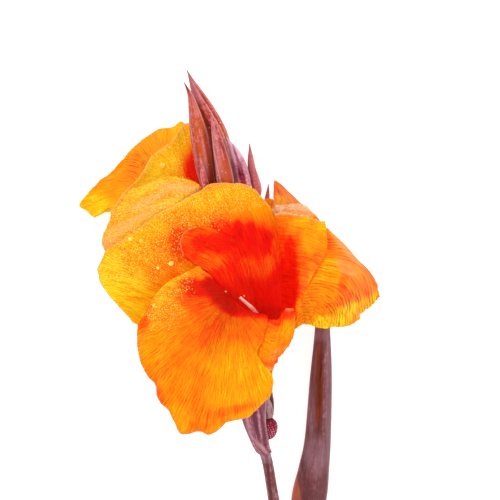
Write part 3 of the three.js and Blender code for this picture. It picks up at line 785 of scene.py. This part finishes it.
blade(
    "right_upper_blade",
    sector=(70, 90),
    ruffle=dict(),
    crinkle=dict(out=0.3, lift=0.2, fold=0.2),
    ribs=[
        [[15, 12, 50], [22, 11, 49], [34, 14, 48]],
        [[12, 24, 52], [19, 23, 51], [26.5, 22.5, 49.5]],
        [[12, 33.5, 50], [12.5, 35, 50], [15, 33.5, 50]],
    ],
    heat=(0.2, [
        (14, 31.5, 5, 3.4, -30, 0.64), (20, 28, 10, 2.4, -42, 0.52), (11, 29, 1.3, 5, 0.6),
    ]),
    crease=1.4,
    hem=(0.95, 1.4),
    # Painted sheen: a pale pink highlight over the blade.
    blush=(0.3, [(22, 25, 8, 1.5, -42, 0.6)]),
)
blade(
    "right_middle_blade",
    sector=(166, 56),
    ruffle=dict(tip=0.6, waves=5),
    crinkle=dict(out=0.3, lift=0.6, fold=0.6),
    ribs=[
        [[16, 6, 55], [22, 5, 56], [27, 2, 55]],
        [[7.6, 21, 56.5], [7.8, 25.4, 56.5], [11, 25.6, 57], [13.5, 22.6, 57.5],
         [25.5, 23.2, 57.5], [30, 20.3, 57], [34.2, 15.8, 56], [36, 10, 55]],
    ],
    heat=(0.32, [(9, 23, 5, 5, 0.36)]),
    crease=0.9,
    # Painted sheen: pale highlights along the crinkled top margin.
    blush=(0.0, [(22, 20.5, 17, 4, 1.15), (24, 19, 10, 1, -8, 0.8), (8, 24, 4, 4, 0.1)]),
    dew=(1.0, [(9, 23, 6, 5, 0.0)]),
    veins=("fan", 6, 14),
)
blade(
    "right_drooping_blade",
    sector=(-80, 110),
    ruffle=dict(tip=0.7, waves=6, calm=0.45),
    crinkle=dict(out=0.4, lift=0.3, fold=0.5, vein=0.15, pleat=0.45, calm=0.42),
    ribs=[
        [[31, 4, 44], [34, -8, 46], [24, -20, 44]],
        [[38, 10.5, 38], [49, -10, 36], [42, -28, 32], [23, -30, 38]],
        [[39, 11, 34], [48.3, 2.2, 26], [54.4, -4.8, 18], [60.8, -11, 8], [64.5, -17.6, 0],
         [65.9, -21.4, -1], [66.6, -23.6, -1], [65, -24.9, -1], [57.2, -31.6, 5], [56.3, -35, 8],
         [51.6, -37, 13], [47, -38.5, 18], [40, -39.6, 25], [32.5, -38.4, 30], [27.5, -37.3, 33],
         [22, -40.6, 34]],
    ],
    heat=(0.3, [
        (50, -4, 5, 17, 40, 0.34), (58, -11, 4, 9, 30, 0.44), (38, 3, 3.6, 9, 20, 0.5),
        (38, -11, 9, 9, -30, 0.16), (36, -26, 6, 3.5, 0.3), (37, -20, 6, 4, 0.32),
        (46.5, -19, 2.5, 8, -10, 0.44), (53, -15, 3, 8, 0.38), (50, -25, 5, 4, 0.46), (58, -18, 4, 5, 0.42),
        (62.5, -25.5, 8, 2.8, 40, 0.06), (50, -31.5, 11, 4.6, 22, 0.08), (37, -37, 12, 4, 0.03),
        (27, -33, 6, 4, 0.34), (41, -27.5, 6, 1.4, 10, 0.44), (58, -30, 3, 6, -30, 0.15),
        (33.6, -10, 0.6, 9, -29, 0.52),
    ]),
    crease=(1.2, [(50, -29, 16, 9, 22, 1.65), (36, -36, 10, 4, 1.2)]),
    # Painted sheen: pale pink highlights on the upper folds.
    blush=(0.0, [(49, 0, 11, 2, -48, 0.35), (49, -11, 4, 1.6, -20, 0.5), (47, -8, 5, 3, -40, 0.3)]),
    veins=("rings", 28.6, -37.4),
)

# ---------------------------------------------------------------- skins' finish


def skin_tones(*colours):
    return [(position, shade(*c)) for position, c in zip((0.0, 0.2999, 0.3, 0.55, 0.8), colours)]


FLUSH = skin_tones((226, 134, 130), (195, 114, 110), (200, 84, 80), (158, 42, 38), (112, 8, 8))
DUSK = skin_tones((172, 132, 132), (148, 112, 112), (132, 76, 78), (102, 42, 40), (76, 20, 14))
MAUVE = skin_tones((230, 160, 176), (198, 136, 150), (188, 92, 112), (150, 44, 70), (108, 10, 36))
PLUM = skin_tones((204, 146, 162), (175, 124, 138), (158, 92, 110), (124, 54, 70), (88, 22, 36))
CREAM = stops((0.0, 255, 222, 204), (1.0, 222, 96, 70))
RUST = shade(194, 84, 20)
LILAC = shade(186, 144, 162)
ROSE = shade(216, 144, 156)
# Painted glint of water on wet skins.
WET_GLINT = shade(250, 214, 216)
POWDER = shade(232, 186, 202)
PALE_EDGE = shade(240, 180, 178)


def skin_paint(name, tones, roughness=0.5, speckle=0.3, wet=0.0, dusty=LILAC):
    """Zones: tone from pale to dark, rust, bloom, and pale edges, partly pale margins and partly a painted
    highlight down each bud's sides. Wet skins carry fine pale specks, painted glints of water.
    """
    paint = Paint(name)
    ways = paint.along()
    tone, rust, bloom, edge = paint.zones()
    here = paint.place()
    fibre = paint.strands(ways, 9.0, 0.5, 0.0, 4.0)
    streak = paint.strands(ways, 26.0, 1.3, 3.0)
    patch = paint.noise(here, 110.0, 4.0)
    grain = paint.noise(here, 1100.0, 1.0)
    freckle = paint.noise(here, 430.0, 2.0)
    value = tone + fibre.swing(1.0) + patch.swing(0.4) + grain.swing(speckle)
    value = value + freckle.swing(0.7) + streak.over(0.5, 0.7) * 0.2 - 0.06
    colour = paint.ramp(value, tones)
    blotch = fibre.swing(1.6) + patch.swing(1.4) + freckle.swing(1.6)
    colour = paint.mix((rust + blotch * rust).clamped() * 0.8, colour, RUST)
    dust = (bloom + patch.swing(bloom) * 1.5 + streak.swing(bloom) * 1.5).clamped()
    colour = paint.mix(dust * 0.75, colour, dusty)
    # Pale edges: some are pale margins, some the painted highlight down each bud's sides.
    colour = paint.mix((edge + grain.swing(edge)).clamped() * 0.7, colour, PALE_EDGE)
    relief = fibre * 0.7 + streak * 0.3 + grain * 0.3
    if wet:
        # Painted glints: pale specks where water on the skin catches the light.
        specks = (1.0 - paint.cells(here, 560.0).over(0.1, 0.24)) * patch.over(0.48, 0.6)
        colour = paint.mix(specks * wet, colour, WET_GLINT)
        relief = relief + specks * 0.8
    return paint.finish(colour, roughness, relief, 0.25, Specular_IOR_Level=0.1)


BUD = skin_paint("bud", FLUSH, roughness=0.45, speckle=0.7, wet=0.6, dusty=ROSE)
CALYX = skin_paint("calyx", DUSK)
FROSTED = skin_paint("frosted bud", MAUVE, speckle=0.6, wet=0.5, dusty=POWDER)
OVARY = skin_paint("ovary", MAUVE, speckle=0.4)
STYLE = skin_paint("style", CREAM, roughness=0.4, speckle=0.1)
BRACT = skin_paint("bract", PLUM)
STEM = skin_paint("stem", DUSK, roughness=0.45)
SHEATH = skin_paint("sheath", DUSK, roughness=0.42)


def skin_zones(grid, look, edge=None):
    keys = ("tone", "rust", "bloom", "edge")
    zones = np.stack([daubed(grid, look.get(k, 0.0)) for k in keys], -1)
    if edge is not None:
        zones[..., 3] = np.maximum(zones[..., 3], edge)
    return zones


# ---------------------------------------------------------------- true petals, sepals, tubes

TRUE_PETALS = {
    "front": [
        ((180, 60), [[[-14, -56, 61], [-8, -61, 62.5], [-3, -62, 61.5]],
                     [[-21, -62, 66], [-20.5, -62.5, 66.2], [-20, -63, 66]]]),
        ((70, 60), [[[-14, -56, 55], [-14, -54, 51], [-12, -51, 48]],
                    [[-32, -46, 50], [-32, -45.5, 49.6], [-32, -45, 49.2]]]),
        ((-60, 60), [[[9, -52, 46], [12, -52, 48.5], [13, -53, 52.5]],
                     [[19.2, -35, 50], [19.4, -35.2, 50.5], [19.6, -35.4, 51]]]),
    ],
    "left": [
        ((100, 70), [[[-35, 4, 45], [-34, 6, 40], [-32, 10, 37]],
                     [[-56, -4, 42], [-56, -3.5, 41.6], [-56, -3, 41.2]]]),
        ((0, 70), [[[-34, 13, 34], [-29, 20, 31], [-24, 22, 33]],
                   [[-42, 26, 20], [-41.6, 26.4, 19.9], [-41.2, 26.8, 20]]]),
        ((-95, 60), [[[-20, 22, 37], [-17, 22, 40], [-16, 20, 43]],
                     [[-21, 38, 35], [-20.8, 38, 35.4], [-20.6, 38, 35.8]]]),
    ],
    "right": [
        ((110, 60), [[[5, 4, 49], [4, 4, 46], [5, 2, 42]],
                     [[4, 19, 51], [4, 19, 50.6], [4, 19, 50.2]]]),
        ((0, 70), [[[10, 4, 36], [16, 1, 33], [20, -4, 36]],
                   [[20, 14, 26], [20.6, 13.6, 25.9], [21.2, 13.2, 26]]]),
        ((-110, 60), [[[15, -23, 40], [17, -22, 44], [17, -18, 48]],
                      [[19.5, -31, 43.4], [20, -31, 43.8], [20.5, -31, 44.2]]]),
    ],
}


def leafy(node, ribs, look, material, thickness, rows=44, columns=28, groove=0.05):
    """A narrow sheet with fine grooves along it and pale margins."""
    grid = loft(ribs, rows, columns)
    u, v = out_across(grid)
    ridge = groove * np.sin(2 * np.pi * columns / 4 * v) + groove * wander(v, len(node), (3, 5, 7))
    grid = grid + normals(grid) * (ridge * np.clip(1.2 - u, 0, 1))[..., None]
    margin = np.clip(np.abs(2 * v - 1) * 8 - 7, 0, 1) * 0.5
    sheet(node, material, grid, skin_zones(grid, look, margin), thickness)


TUBE_RADII = [2.1, 2.0, 2.4, TUBE_RADIUS]
TRUE_PETAL_LOOK = dict(tone=0.3, rust=0.1, bloom=0.2)
for name, petals in TRUE_PETALS.items():
    flower = FLOWERS[name]
    outside = TUBE_RADIUS + SEAT_GAP + SEPAL_SEAT
    for i, (sector, ribs) in enumerate(petals):
        base = [flower.arc(*sector, outside, -3), flower.arc(*sector, outside + 2, 4)]
        node = f"{name}_true_petal_{i + 1}"
        leafy(node, base + ribs, TRUE_PETAL_LOOK, CALYX, SEPAL_THICKNESS)

SEPAL_LENGTH = 14.0
SEPAL_SHORT = 3.8  # how far under the mouth a sepal ends at least
SEPALS = {"right": (-72, 3.6), "upper": (-142, 1.8), "lower": (50, 0.8)}  # degrees, flare
SEPAL_LOOKS = {
    "right": dict(tone=0.28, bloom=0.1),
    "upper": dict(tone=0.22, bloom=0.1),
    "lower": dict(tone=0.35, bloom=0.3),
}
for name, flower in FLOWERS.items():
    foot = TUBE_RADII[0] + SEAT_GAP + SEPAL_SEAT
    length = min(SEPAL_LENGTH, np.linalg.norm(flower.mouth - flower.ovary) - SEPAL_SHORT)
    calyx = Flower(flower.ovary, flower.ovary, flower.bend)
    for side, (angle, flare) in SEPALS.items():
        ribs = [
            calyx.arc(angle, 64, foot, 0.9),
            calyx.arc(angle, 60, foot + 0.4 + flare * length / (2 * SEPAL_LENGTH), 0.5 * length),
            calyx.arc(angle, 12, foot + flare * length / SEPAL_LENGTH, length),
        ]
        node = f"{name}_sepal_{side}"
        leafy(node, ribs, SEPAL_LOOKS[side], CALYX, SEPAL_THICKNESS, rows=30, columns=20)

for name, flower in FLOWERS.items():
    start = flower.ovary + 2 * SEAT_GAP * unit(flower.bend - flower.ovary)
    grid = tube(
        [start, flower.bend, flower.mouth],
        lambda t, turn: table(TUBE_RADII, t) * (1 + 0.03 * np.cos(18 * np.pi * turn)),
        sides=40,
        steps=36,
    )
    zones = skin_zones(grid, dict(tone=0.2, rust=0.05, bloom=0.2))
    rods(f"{name}_tube", CALYX, [grid], [zones])

# ---------------------------------------------------------------- ovaries and style

OVARY_RADIUS = 4.2
OVARIES = {
    "front": [[8, -95, 36.5], [9.6, -89.5, 40.5]],
    "left": [[-10, -6.5, 45.2], [-12.8, -2.2, 45.9]],
    "right": [[2.6, -28.7, 43.1], [5.2, -23.8, 43.6]],
}
WART_ROWS, WARTS_ROUND, WART_HEIGHT = 13, 18, 0.45


def wart(t, turn):
    """Rows of blunt warts all over, set in brick fashion: 1 on a wart's top."""
    lane = t * WART_ROWS
    around = (turn * WARTS_ROUND + np.floor(lane) % 2 * 0.5) % 1 - 0.5
    along = lane % 1 - 0.5
    return np.clip(1 - np.hypot(around, along) / 0.5, 0, 1) ** 0.6 * np.sin(np.pi * np.clip(t, 0, 1)) ** 0.5


def warty(t, turn):
    return OVARY_RADIUS * table([0.35, 0.8, 0.94, 0.88, 0.5], t) + WART_HEIGHT * wart(t, turn)


OVARY_SIDES, OVARY_STEPS = 144, 104
for name, path in OVARIES.items():
    grid = tube([*path, FLOWERS[name].ovary], warty, OVARY_SIDES, OVARY_STEPS)
    t, turn = tube_ways(grid)
    zones = skin_zones(grid, dict(tone=0.78))
    # The wart tops are paler: partly the warts' own pink, partly a painted highlight.
    zones[..., 0] -= 0.6 * wart(t, turn % 1) ** 1.2
    rods(f"{name}_ovary", OVARY, [grid], [zones])

start = FLOWERS["front"].point(0, 0, SEAT_GAP + 0.1)
grid = tube(
    [start, [4.6, -55, 58.6], [4.8, -44, 63.5], [3.6, -32.4, 67.5], [-5, -23.6, 70.5]],
    lambda t, turn: table([0.6, 0.7, 0.85, 1.1, 0.7], t) * (1 - 0.35 * np.abs(np.cos(2 * np.pi * turn))),
    sides=24,
    steps=80,
)
rods("front_style", STYLE, [grid], [skin_zones(grid, dict(tone=(0.2, [(3, -33, 4, 5, 0.8)])))])

# ---------------------------------------------------------------- buds

SCALE_UNDER, SCALE_STEP = 0.965, 0.075  # of the radius: a scale's inner edge, and its rise
HIGHLIGHT_TURN, HIGHLIGHT_WIDTH = 0.17, 0.025  # of a turn from the top: where a painted highlight runs as a pale line, and how wide
BUD_SIDES, BUD_STEPS = 96, 90


def overlap(t, turn, phase):
    """How far round each of a bud's two rolled scales a point is, from under to over."""
    return (turn * 2 + phase + 0.35 * t) % 1


def bud(name, path, radii, phase, rim=None, material=BUD, **look):
    """A rolled bud. Its overlap starts at phase of a turn; rim is how pale the painted highlight along its
    sides is.
    """

    def rolled(t, turn):
        rise = SCALE_STEP * overlap(t, turn, phase) * np.clip(1.15 - t, 0, 1)
        return table(radii, t) * (SCALE_UNDER + rise)

    grid = tube(path, rolled, BUD_SIDES, BUD_STEPS)
    t, turn = tube_ways(grid)
    lap = overlap(t, turn % 1, phase)
    aside = np.abs((turn + 0.5) % 1 - 0.5)
    # Painted highlight: a pale line down both sides, 0.17 of a turn from the top.
    line = np.exp(-(((aside - HIGHLIGHT_TURN) / HIGHLIGHT_WIDTH) ** 2)) * (rim or min(0.7, 0.12 * max(radii)))
    zones = skin_zones(grid, look, np.maximum(np.clip(lap * 12 - 11, 0, 1) * 0.8, line))
    # Painted shade: darker just beside each scale's overlapping edge, and down the sides and underside as
    # they turn away from the top.
    zones[..., 0] += np.clip(0.16 - lap, 0, 1) * 2.2 + np.clip(aside - 0.18, 0, 0.1) * 3
    rods(name, material, [grid], [zones])


bud(
    "bud_1",
    [[-11.5, 24, 42.3], [-13.5, 34, 40.5], [-14.8, 48, 40], [-17, 58.5, 40], [-21.6, 69.5, 41.5],
     [-27.3, 80.5, 44.5], [-31.6, 90.2, 48]],
    [1.4, 5.6, 6.1, 5.6, 4.3, 2.7, 0.25], 0.62, 0.3,
    # The dark strokes down its left side are painted shade, where it lies under bud_2; the dark tip is its
    # own.
    tone=(0.4, [
        (-31, 89, 3, 5, 0.7), (-25, 72, 2, 14, 25, 0.8), (-19.5, 52, 4, 22, 12, 0.9),
        (-20, 38, 6, 12, 0.98), (-21, 70, 2.4, 12, 25, 0.36),
    ]),
    rust=(0.1, [(-20, 48, 3, 20, 12, 0.45), (-12.5, 57, 2.4, 7, 25, 0.8), (-19.5, 70, 2, 8, 25, 0.3)]),
    bloom=(0.0, [(-28, 81, 2, 9, 25, 0.5)]),
)
bud(
    "bud_2",
    [[-16, 24, 49.4], [-21, 33.5, 51.4], [-24.8, 54, 52.5], [-27.4, 66.5, 52.5], [-29.8, 77, 52.5],
     [-33, 84, 53]],
    [1.3, 3.9, 4.6, 4.2, 2.5, 0.25], 0.3, 0.3,
    # The dark strokes down its right side, with rust at the same places, are painted shade in the gap
    # beside bud_3.
    tone=(0.42, [(-20.6, 50, 1.8, 15, 8, 0.75), (-19, 38, 3, 8, 8, 0.9), (-33, 84, 3, 5, 0.7)]),
    rust=(0.25, [(-25, 60, 3, 20, 8, 0.9), (-20.6, 50, 1.8, 15, 8, 0.4), (-19, 38, 3, 8, 8, 0.35)]),
    bloom=(0.0, [(-28, 74, 1.2, 8, 12, 0.4), (-22.5, 46, 1, 10, 8, 0.3)]),
)
bud(
    "bud_3",
    [[-10.3, 25, 50.6], [-12, 33, 54.5], [-13.4, 41.5, 55], [-15.2, 50, 55], [-17.2, 59, 55],
     [-19.8, 69, 55]],
    [1.3, 4.3, 4.1, 3.3, 2, 0.25], 0.08,
    tone=(0.48, [(-18, 55, 1.6, 16, 10, 0.3), (-10.5, 40, 1.4, 14, 10, 0.7)]),
    rust=(0.1, [(-12.5, 38, 3, 10, 10, 0.85)]),
    bloom=(0.05, [(-17, 52, 1.6, 14, 10, 0.5)]),
)
bud(
    "bud_4",
    [[-4.2, 25, 47.6], [-3.6, 33, 49], [-4.8, 40, 49.5], [-7.2, 47.5, 49.5], [-10.2, 53.5, 49.5],
     [-12.2, 57, 49.5]],
    [1.8, 3.9, 3.9, 3.4, 2, 0.25], 0.2,
    material=FROSTED,
    tone=(0.4, [(-8.8, 40, 0.8, 12, 10, 0.6), (-4, 36, 1.5, 9, 12, 0.7), (-6.5, 46, 0.8, 8, 18, 0.7)]),
    bloom=(0.35, [(-8, 51, 4, 6, 15, 1.1), (-4, 36, 1.6, 8, 12, 0.0), (-6.5, 46, 0.6, 7, 18, 0.2)]),
)
bud(
    "bud_5",
    [[-18.6, 26.8, 58.2], [-22, 31.5, 60.8], [-23.4, 38, 60.8], [-24.6, 44.5, 60.4], [-25.2, 48.5, 60]],
    [0.7, 1.7, 1.7, 0.9, 0.25], 0.05,
    tone=(0.42, [(-21.5, 34, 1, 8, 8, 0.6)]),
    bloom=(0.1, [(-24, 44, 1, 6, 8, 0.5)]),
)
bud(
    "bud_6",
    [[2.2, 21.5, 46], [3.4, 30, 46.3], [2.2, 36, 46.8], [0.7, 42, 47], [-0.25, 53.5, 47]],
    [1.2, 2.4, 2.2, 1.6, 0.25], 0.15,
    tone=(0.5, [(0.2, 40, 0.8, 12, 8, 0.85), (-0.2, 53, 2, 4, 0.8)]),
    rust=0.1,
    bloom=0.45,
)
bud(
    "bud_7",
    [[7.2, 19.6, 46.2], [8.6, 26, 48.6], [9.25, 33, 49.6]],
    [0.8, 1.2, 0.25], 0.0,
    tone=0.5,
    rust=0.3,
    bloom=0.2,
)

# ---------------------------------------------------------------- stem, sheath and bract

STEM_PATH = [
    [23.5, -197.5, 4], [22.4, -183, 4.2], [20.4, -162, 12], [15.5, -142.5, 19], [11.8, -125, 24],
    [8.9, -107.5, 29], [5.5, -95, 33], [3.5, -75, 37], [0.5, -45, 41], [-3.5, -10, 44],
    [-7.5, 14, 45.5], [-8, 21, 46],
]
STEM_RADII = [5, 5, 4.6, 3.2, 2.7, 2.7, 2.7, 2.5, 2.5, 2.4, 2.2, 1.6]
STALKS = [
    ([[5.8, -99, 31.8], [7, -97, 33.6], [7.8, -95.5, 36]], 1.4),
    ([[-3.4, -14, 43.6], [-6.5, -10.5, 44.4], [-9.7, -7, 45.1]], 1.4),
    ([[-0.8, -35, 42], [0.6, -31.5, 42.6], [2.3, -29.2, 43]], 1.4),
    ([[-7.6, 15, 45.2], [-9.8, 20, 43.6], [-11.3, 23.6, 42.4]], 1.3),
    ([[-7.9, 17, 45.6], [-12.5, 20.5, 47.6], [-15.8, 23.6, 49.2]], 1.2),
    ([[-8, 19, 46], [-9.6, 22.4, 48.6], [-10.2, 24.7, 50.2]], 1.2),
    ([[-8, 19, 46.4], [-12.8, 22.2, 53], [-18.3, 26.4, 57.8]], 0.7),
    ([[-7.8, 17, 45.8], [-6, 21.5, 47], [-5.2, 24.6, 47.5]], 1.1),
    ([[-6.2, 6, 44.8], [-1.2, 15, 45.4], [2, 21.1, 45.9]], 0.9),
    ([[-4.2, -4, 44.2], [2.5, 10, 44.6], [7, 19.2, 46]], 0.8),
]
STEM_LOOK = dict(
    tone=(0.42, [(23.5, -200, 12, 4, 0.1), (7.5, -101, 6, 3.5, 0.2), (10, -120, 0.8, 24, 6, 0.85)]),
    rust=0.05,
    bloom=(0.12, [(7.5, -102, 6, 5, 0.5)]),
)
grids = [
    tube(
        STEM_PATH,
        lambda t, turn: table(STEM_RADII, t) * (1 + 0.02 * np.cos(28 * np.pi * turn)),
        sides=64,
        steps=280,
    )
]
grids += [tube(path, lambda t, turn: radius + 0 * t, sides=20, steps=12) for path, radius in STALKS]
rods("stem", STEM, grids, [skin_zones(grid, STEM_LOOK) for grid in grids])

SHEATH_RIBS = [
    [[23, -157, 18.3], [26.3, -158, 13.8], [24.6, -157, 8.8]],
    [[21.5, -141, 14.5], [28, -140, 21], [35, -141, 12]],
    [[21.2, -124.5, 13], [30, -124, 21], [38.9, -125, 12]],
    [[24.8, -109.5, 12.5], [32.5, -109, 20.6], [40.1, -110, 12]],
    [[27.8, -95, 12], [34.4, -95, 20], [40.9, -95, 12]],
    [[30.4, -65, 11], [36.3, -65, 18], [41.4, -65, 11.5]],
    [[33, -39.5, 11], [37.3, -39.5, 16.5], [40.4, -39.5, 11]],
    [[36, 3, 13], [37, 5, 13.5], [38, 3, 13]],
]
SHEATH_LOOK = dict(
    tone=(0.7, [
        (35.3, -48, 1.1, 7, 3, 0.95), (34.7, -60, 1.2, 7, -3, 0.95), (35.7, -72.5, 1.2, 7, 3, 0.95),
        (33.9, -84, 0.7, 7, -4, 0.9), (29, -112, 6, 16, 0.62), (25, -98, 1.2, 14, 10, 0.9),
        (31, -88, 1, 26, 6, 0.55), (37.7, -70, 1, 30, -2, 0.5),
    ]),
    rust=(0.03, [
        (23.6, -118, 1.2, 12, 12, 0.8), (22.3, -122, 1.2, 8, 12, 1.3), (35.3, -48, 1, 7, 3, 0.3),
        (34.7, -60, 1.1, 7, -3, 0.3), (35.7, -72.5, 1.1, 7, 3, 0.3), (33.9, -84, 0.7, 7, -4, 0.25),
        (33.7, -57, 0.3, 9, -4, 0.6), (36, -70, 0.3, 14, -5, 0.3), (34.2, -76, 1.8, 13, 0.22),
        (34.4, -84, 0.35, 6, -4, 0.5),
    ]),
    # The long pale strip down the right margin (x 39.6) is a painted highlight.
    bloom=(0.12, [
        (37, -42, 6, 4, 0.4), (35, -66, 1.6, 22, 0.0), (39.6, -80, 1.6, 40, 0.36), (33, -104, 5, 10, 0.45),
        (31, -80, 2, 14, 4, 0.3),
    ]),
)
leafy("sheath", SHEATH_RIBS, SHEATH_LOOK, SHEATH, 0.9, rows=190, columns=64, groove=0.09)

BRACT_RIBS = [
    [[3.1, -101.8, 31.2], [7.2, -103.4, 35.4], [11, -101.6, 31.8]],
    [[0.4, -96.5, 37], [4.4, -97.5, 43], [9.8, -98, 42]],
    [[-4.2, -84, 43], [2.4, -87, 50.5], [8, -86, 48.6]],
    [[-3, -75, 52], [3, -75, 58], [8, -75, 56.5]],
    [[2.6, -66.5, 62], [4.6, -65, 62.6], [6.6, -66.5, 62]],
]
BRACT_LOOK = dict(
    # The two narrow pale strokes (x 4.5 and -0.5) are painted highlights on the folds.
    tone=(0.5, [
        (2.5, -84, 0.7, 14, 10, 0.9), (6.5, -90, 0.8, 12, 10, 0.85), (-3, -86, 1, 12, 14, 0.75),
        (4.5, -84, 0.7, 12, 8, 0.3), (-0.5, -86, 0.7, 12, 12, 0.3),
    ]),
    bloom=(0.15, [(-1, -87, 1, 8, 12, 0.5)]),
    edge=(0.0, [(6, -99, 5, 1, -48, 0.5)]),
)
leafy("bract", BRACT_RIBS, BRACT_LOOK, BRACT, 0.8, rows=70, columns=48, groove=0.08)

# ---------------------------------------------------------------- dew

BEADS = 3500
BEAD_RADIUS, BEAD_RANGE = 0.2, 0.2  # the smallest, and how much larger the largest is
BEAD_SPACING = 0.88
BEAD_JITTER = 0.35
BEAD_HEIGHT = 0.66  # of its width
BEAD_LIFT = 0.15  # of its radius: how far a bead's middle is over the skin
DROP_REACH = 1.5  # how far from its place a large drop may find a blade
DEW_GOLD, DEW_LIGHT = shade(244, 180, 20), shade(255, 224, 96)
DROPS = [  # x, y, radius of the large drops
    (-44, 43, 1.6), (-60, 5, 1.1), (-54.5, 4.5, 1.2), (-39.5, -6.5, 1.3), (-46.5, -9, 0.9),
    (-47.5, -27.5, 1.0), (-11.5, -20, 0.5), (-3, -23, 0.4), (-1, -27, 0.4), (-64, -22, 0.8),
]


def strewn(count, seed):
    """Places on the wet parts of the blades, none too close to another, with their normals."""
    draw = np.random.default_rng(seed)
    points, outward, chance = [], [], []
    for grid, zones in surfaces:
        inside = (slice(3, -2), slice(2, -2))
        cell = np.linalg.norm(np.cross(np.gradient(grid, axis=0), np.gradient(grid, axis=1)), axis=2)
        points.append(grid[inside].reshape(-1, 3))
        outward.append(normals(grid)[inside].reshape(-1, 3))
        off_red = np.clip(1.5 - 3.2 * zones[..., 0], 0.015, 1)
        chance.append((zones[..., 3] ** 1.5 * cell * off_red)[inside].ravel())
    points, outward, chance = (np.concatenate(part) for part in (points, outward, chance))
    outward = np.where(outward[:, 2:] < 0, -outward, outward)
    many = min(np.count_nonzero(chance), count * 8)
    order = draw.choice(len(points), many, False, chance / chance.sum())
    taken, chosen = {}, []
    for i in order:
        p = points[i] + np.array([*draw.uniform(-BEAD_JITTER, BEAD_JITTER, 2), 0])
        cell = tuple((p // 1.0).astype(int))
        near = [q for dx in (-1, 0, 1) for dy in (-1, 0, 1) for dz in (-1, 0, 1)
                for q in taken.get((cell[0] + dx, cell[1] + dy, cell[2] + dz), ())]
        if all(np.linalg.norm(p - q) > BEAD_SPACING for q in near):
            taken.setdefault(cell, []).append(p)
            chosen.append((p, outward[i], BEAD_RADIUS + BEAD_RANGE * draw.random() ** 2.5))
            if len(chosen) == count:
                break
    return chosen


def beads(name, material, places, subdivisions):
    """Flattened balls sunk a little into the surface, one for each place."""
    bm = bmesh.new()
    bmesh.ops.create_icosphere(bm, subdivisions=subdivisions, radius=1.0)
    size = len(bm.verts)
    while len(bm.verts) < size * len(places):
        bmesh.ops.duplicate(bm, geom=bm.verts[:] + bm.edges[:] + bm.faces[:])
    bm.verts.ensure_lookup_table()
    bmesh.ops.delete(bm, geom=bm.verts[size * len(places):], context="VERTS")
    for i, vertex in enumerate(bm.verts):
        point, normal, radius = places[i // size]
        up = Vector(normal)
        across = up.orthogonal().normalized()
        x, y, z = vertex.co
        ball = (across * x + up.cross(across) * y + up * z * BEAD_HEIGHT) * radius
        middle = point + normal * (PETAL_THICKNESS / 2 + radius * BEAD_LIFT)
        vertex.co = Vector(placed(middle)) + ball * MM
    finished(bm, name, material)


def highest_near(x, y):
    """The highest point of a blade close to x, y seen from above, with its upward normal."""
    found = []
    for grid, _ in surfaces:
        away = np.hypot(grid[..., 0] - x, grid[..., 1] - y)
        spot = np.unravel_index(np.argmin(away), away.shape)
        if away[spot] < DROP_REACH:
            found.append((grid[spot], normals(grid)[spot]))
    point, normal = max(found, key=lambda spot: spot[0][2])
    return point, normal if normal[2] > 0 else -normal


# The beads are opaque, coloured gold to pale yellow as a painted stand-in for the petal seen through a
# drop, and glow faintly in that colour: painted light.
water = Paint("dew")
tint = water.mix(water.noise(water.place(), 300.0).over(0.35, 0.65), DEW_GOLD, DEW_LIGHT)
water.feed(water.surface.inputs["Emission Color"], tint)
WATER = water.finish(tint, 0.2, Specular_IOR_Level=0.6, Emission_Strength=0.2)
beads("dew_beads", WATER, strewn(BEADS, 7), 1)
beads("dew_drops", WATER, [(*highest_near(x, y), radius) for x, y, radius in DROPS], 3)

# ---------------------------------------------------------------- surface and light

FLOOR_SIZE = 4  # metres from its middle
FLOOR_GREY, FLOOR_GLOW = 0.75, 0.6
SKY = 0.97

bm = bmesh.new()
bmesh.ops.create_grid(bm, x_segments=1, y_segments=1, size=FLOOR_SIZE)
mesh = bpy.data.meshes.new("floor")
bm.to_mesh(mesh)
bm.free()
floor = bpy.data.objects.new("floor", mesh)
bpy.context.scene.collection.objects.link(floor)
pale = Paint("floor")
glow = dict(Specular_IOR_Level=0.0, Emission_Color=(1.0, 1.0, 1.0, 1.0), Emission_Strength=FLOOR_GLOW)
mesh.materials.append(pale.finish((FLOOR_GREY,) * 3, 0.9, **glow))

world = bpy.data.worlds.new("world")
bpy.context.scene.world = world
world.use_nodes = True
world.node_tree.nodes["Background"].inputs["Color"].default_value = (1, 1, 1, 1)
world.node_tree.nodes["Background"].inputs["Strength"].default_value = SKY

LIT_POINT = (0, 0.02, 0.05)  # where the lights are turned to


def area(name, location, size, power):
    """A square light, in metres and watts."""
    light = bpy.data.objects.new(name, bpy.data.lights.new(name, "AREA"))
    bpy.context.scene.collection.objects.link(light)
    light.data.size = size
    light.data.energy = power
    light.location = location
    light.rotation_mode = "QUATERNION"
    light.rotation_quaternion = (Vector(LIT_POINT) - Vector(location)).to_track_quat("-Z", "Y")


area("key", (-0.9, 1.1, 1.5), 0.7, 9)
area("fill", (1.3, -0.4, 1.3), 1.2, 5.5)
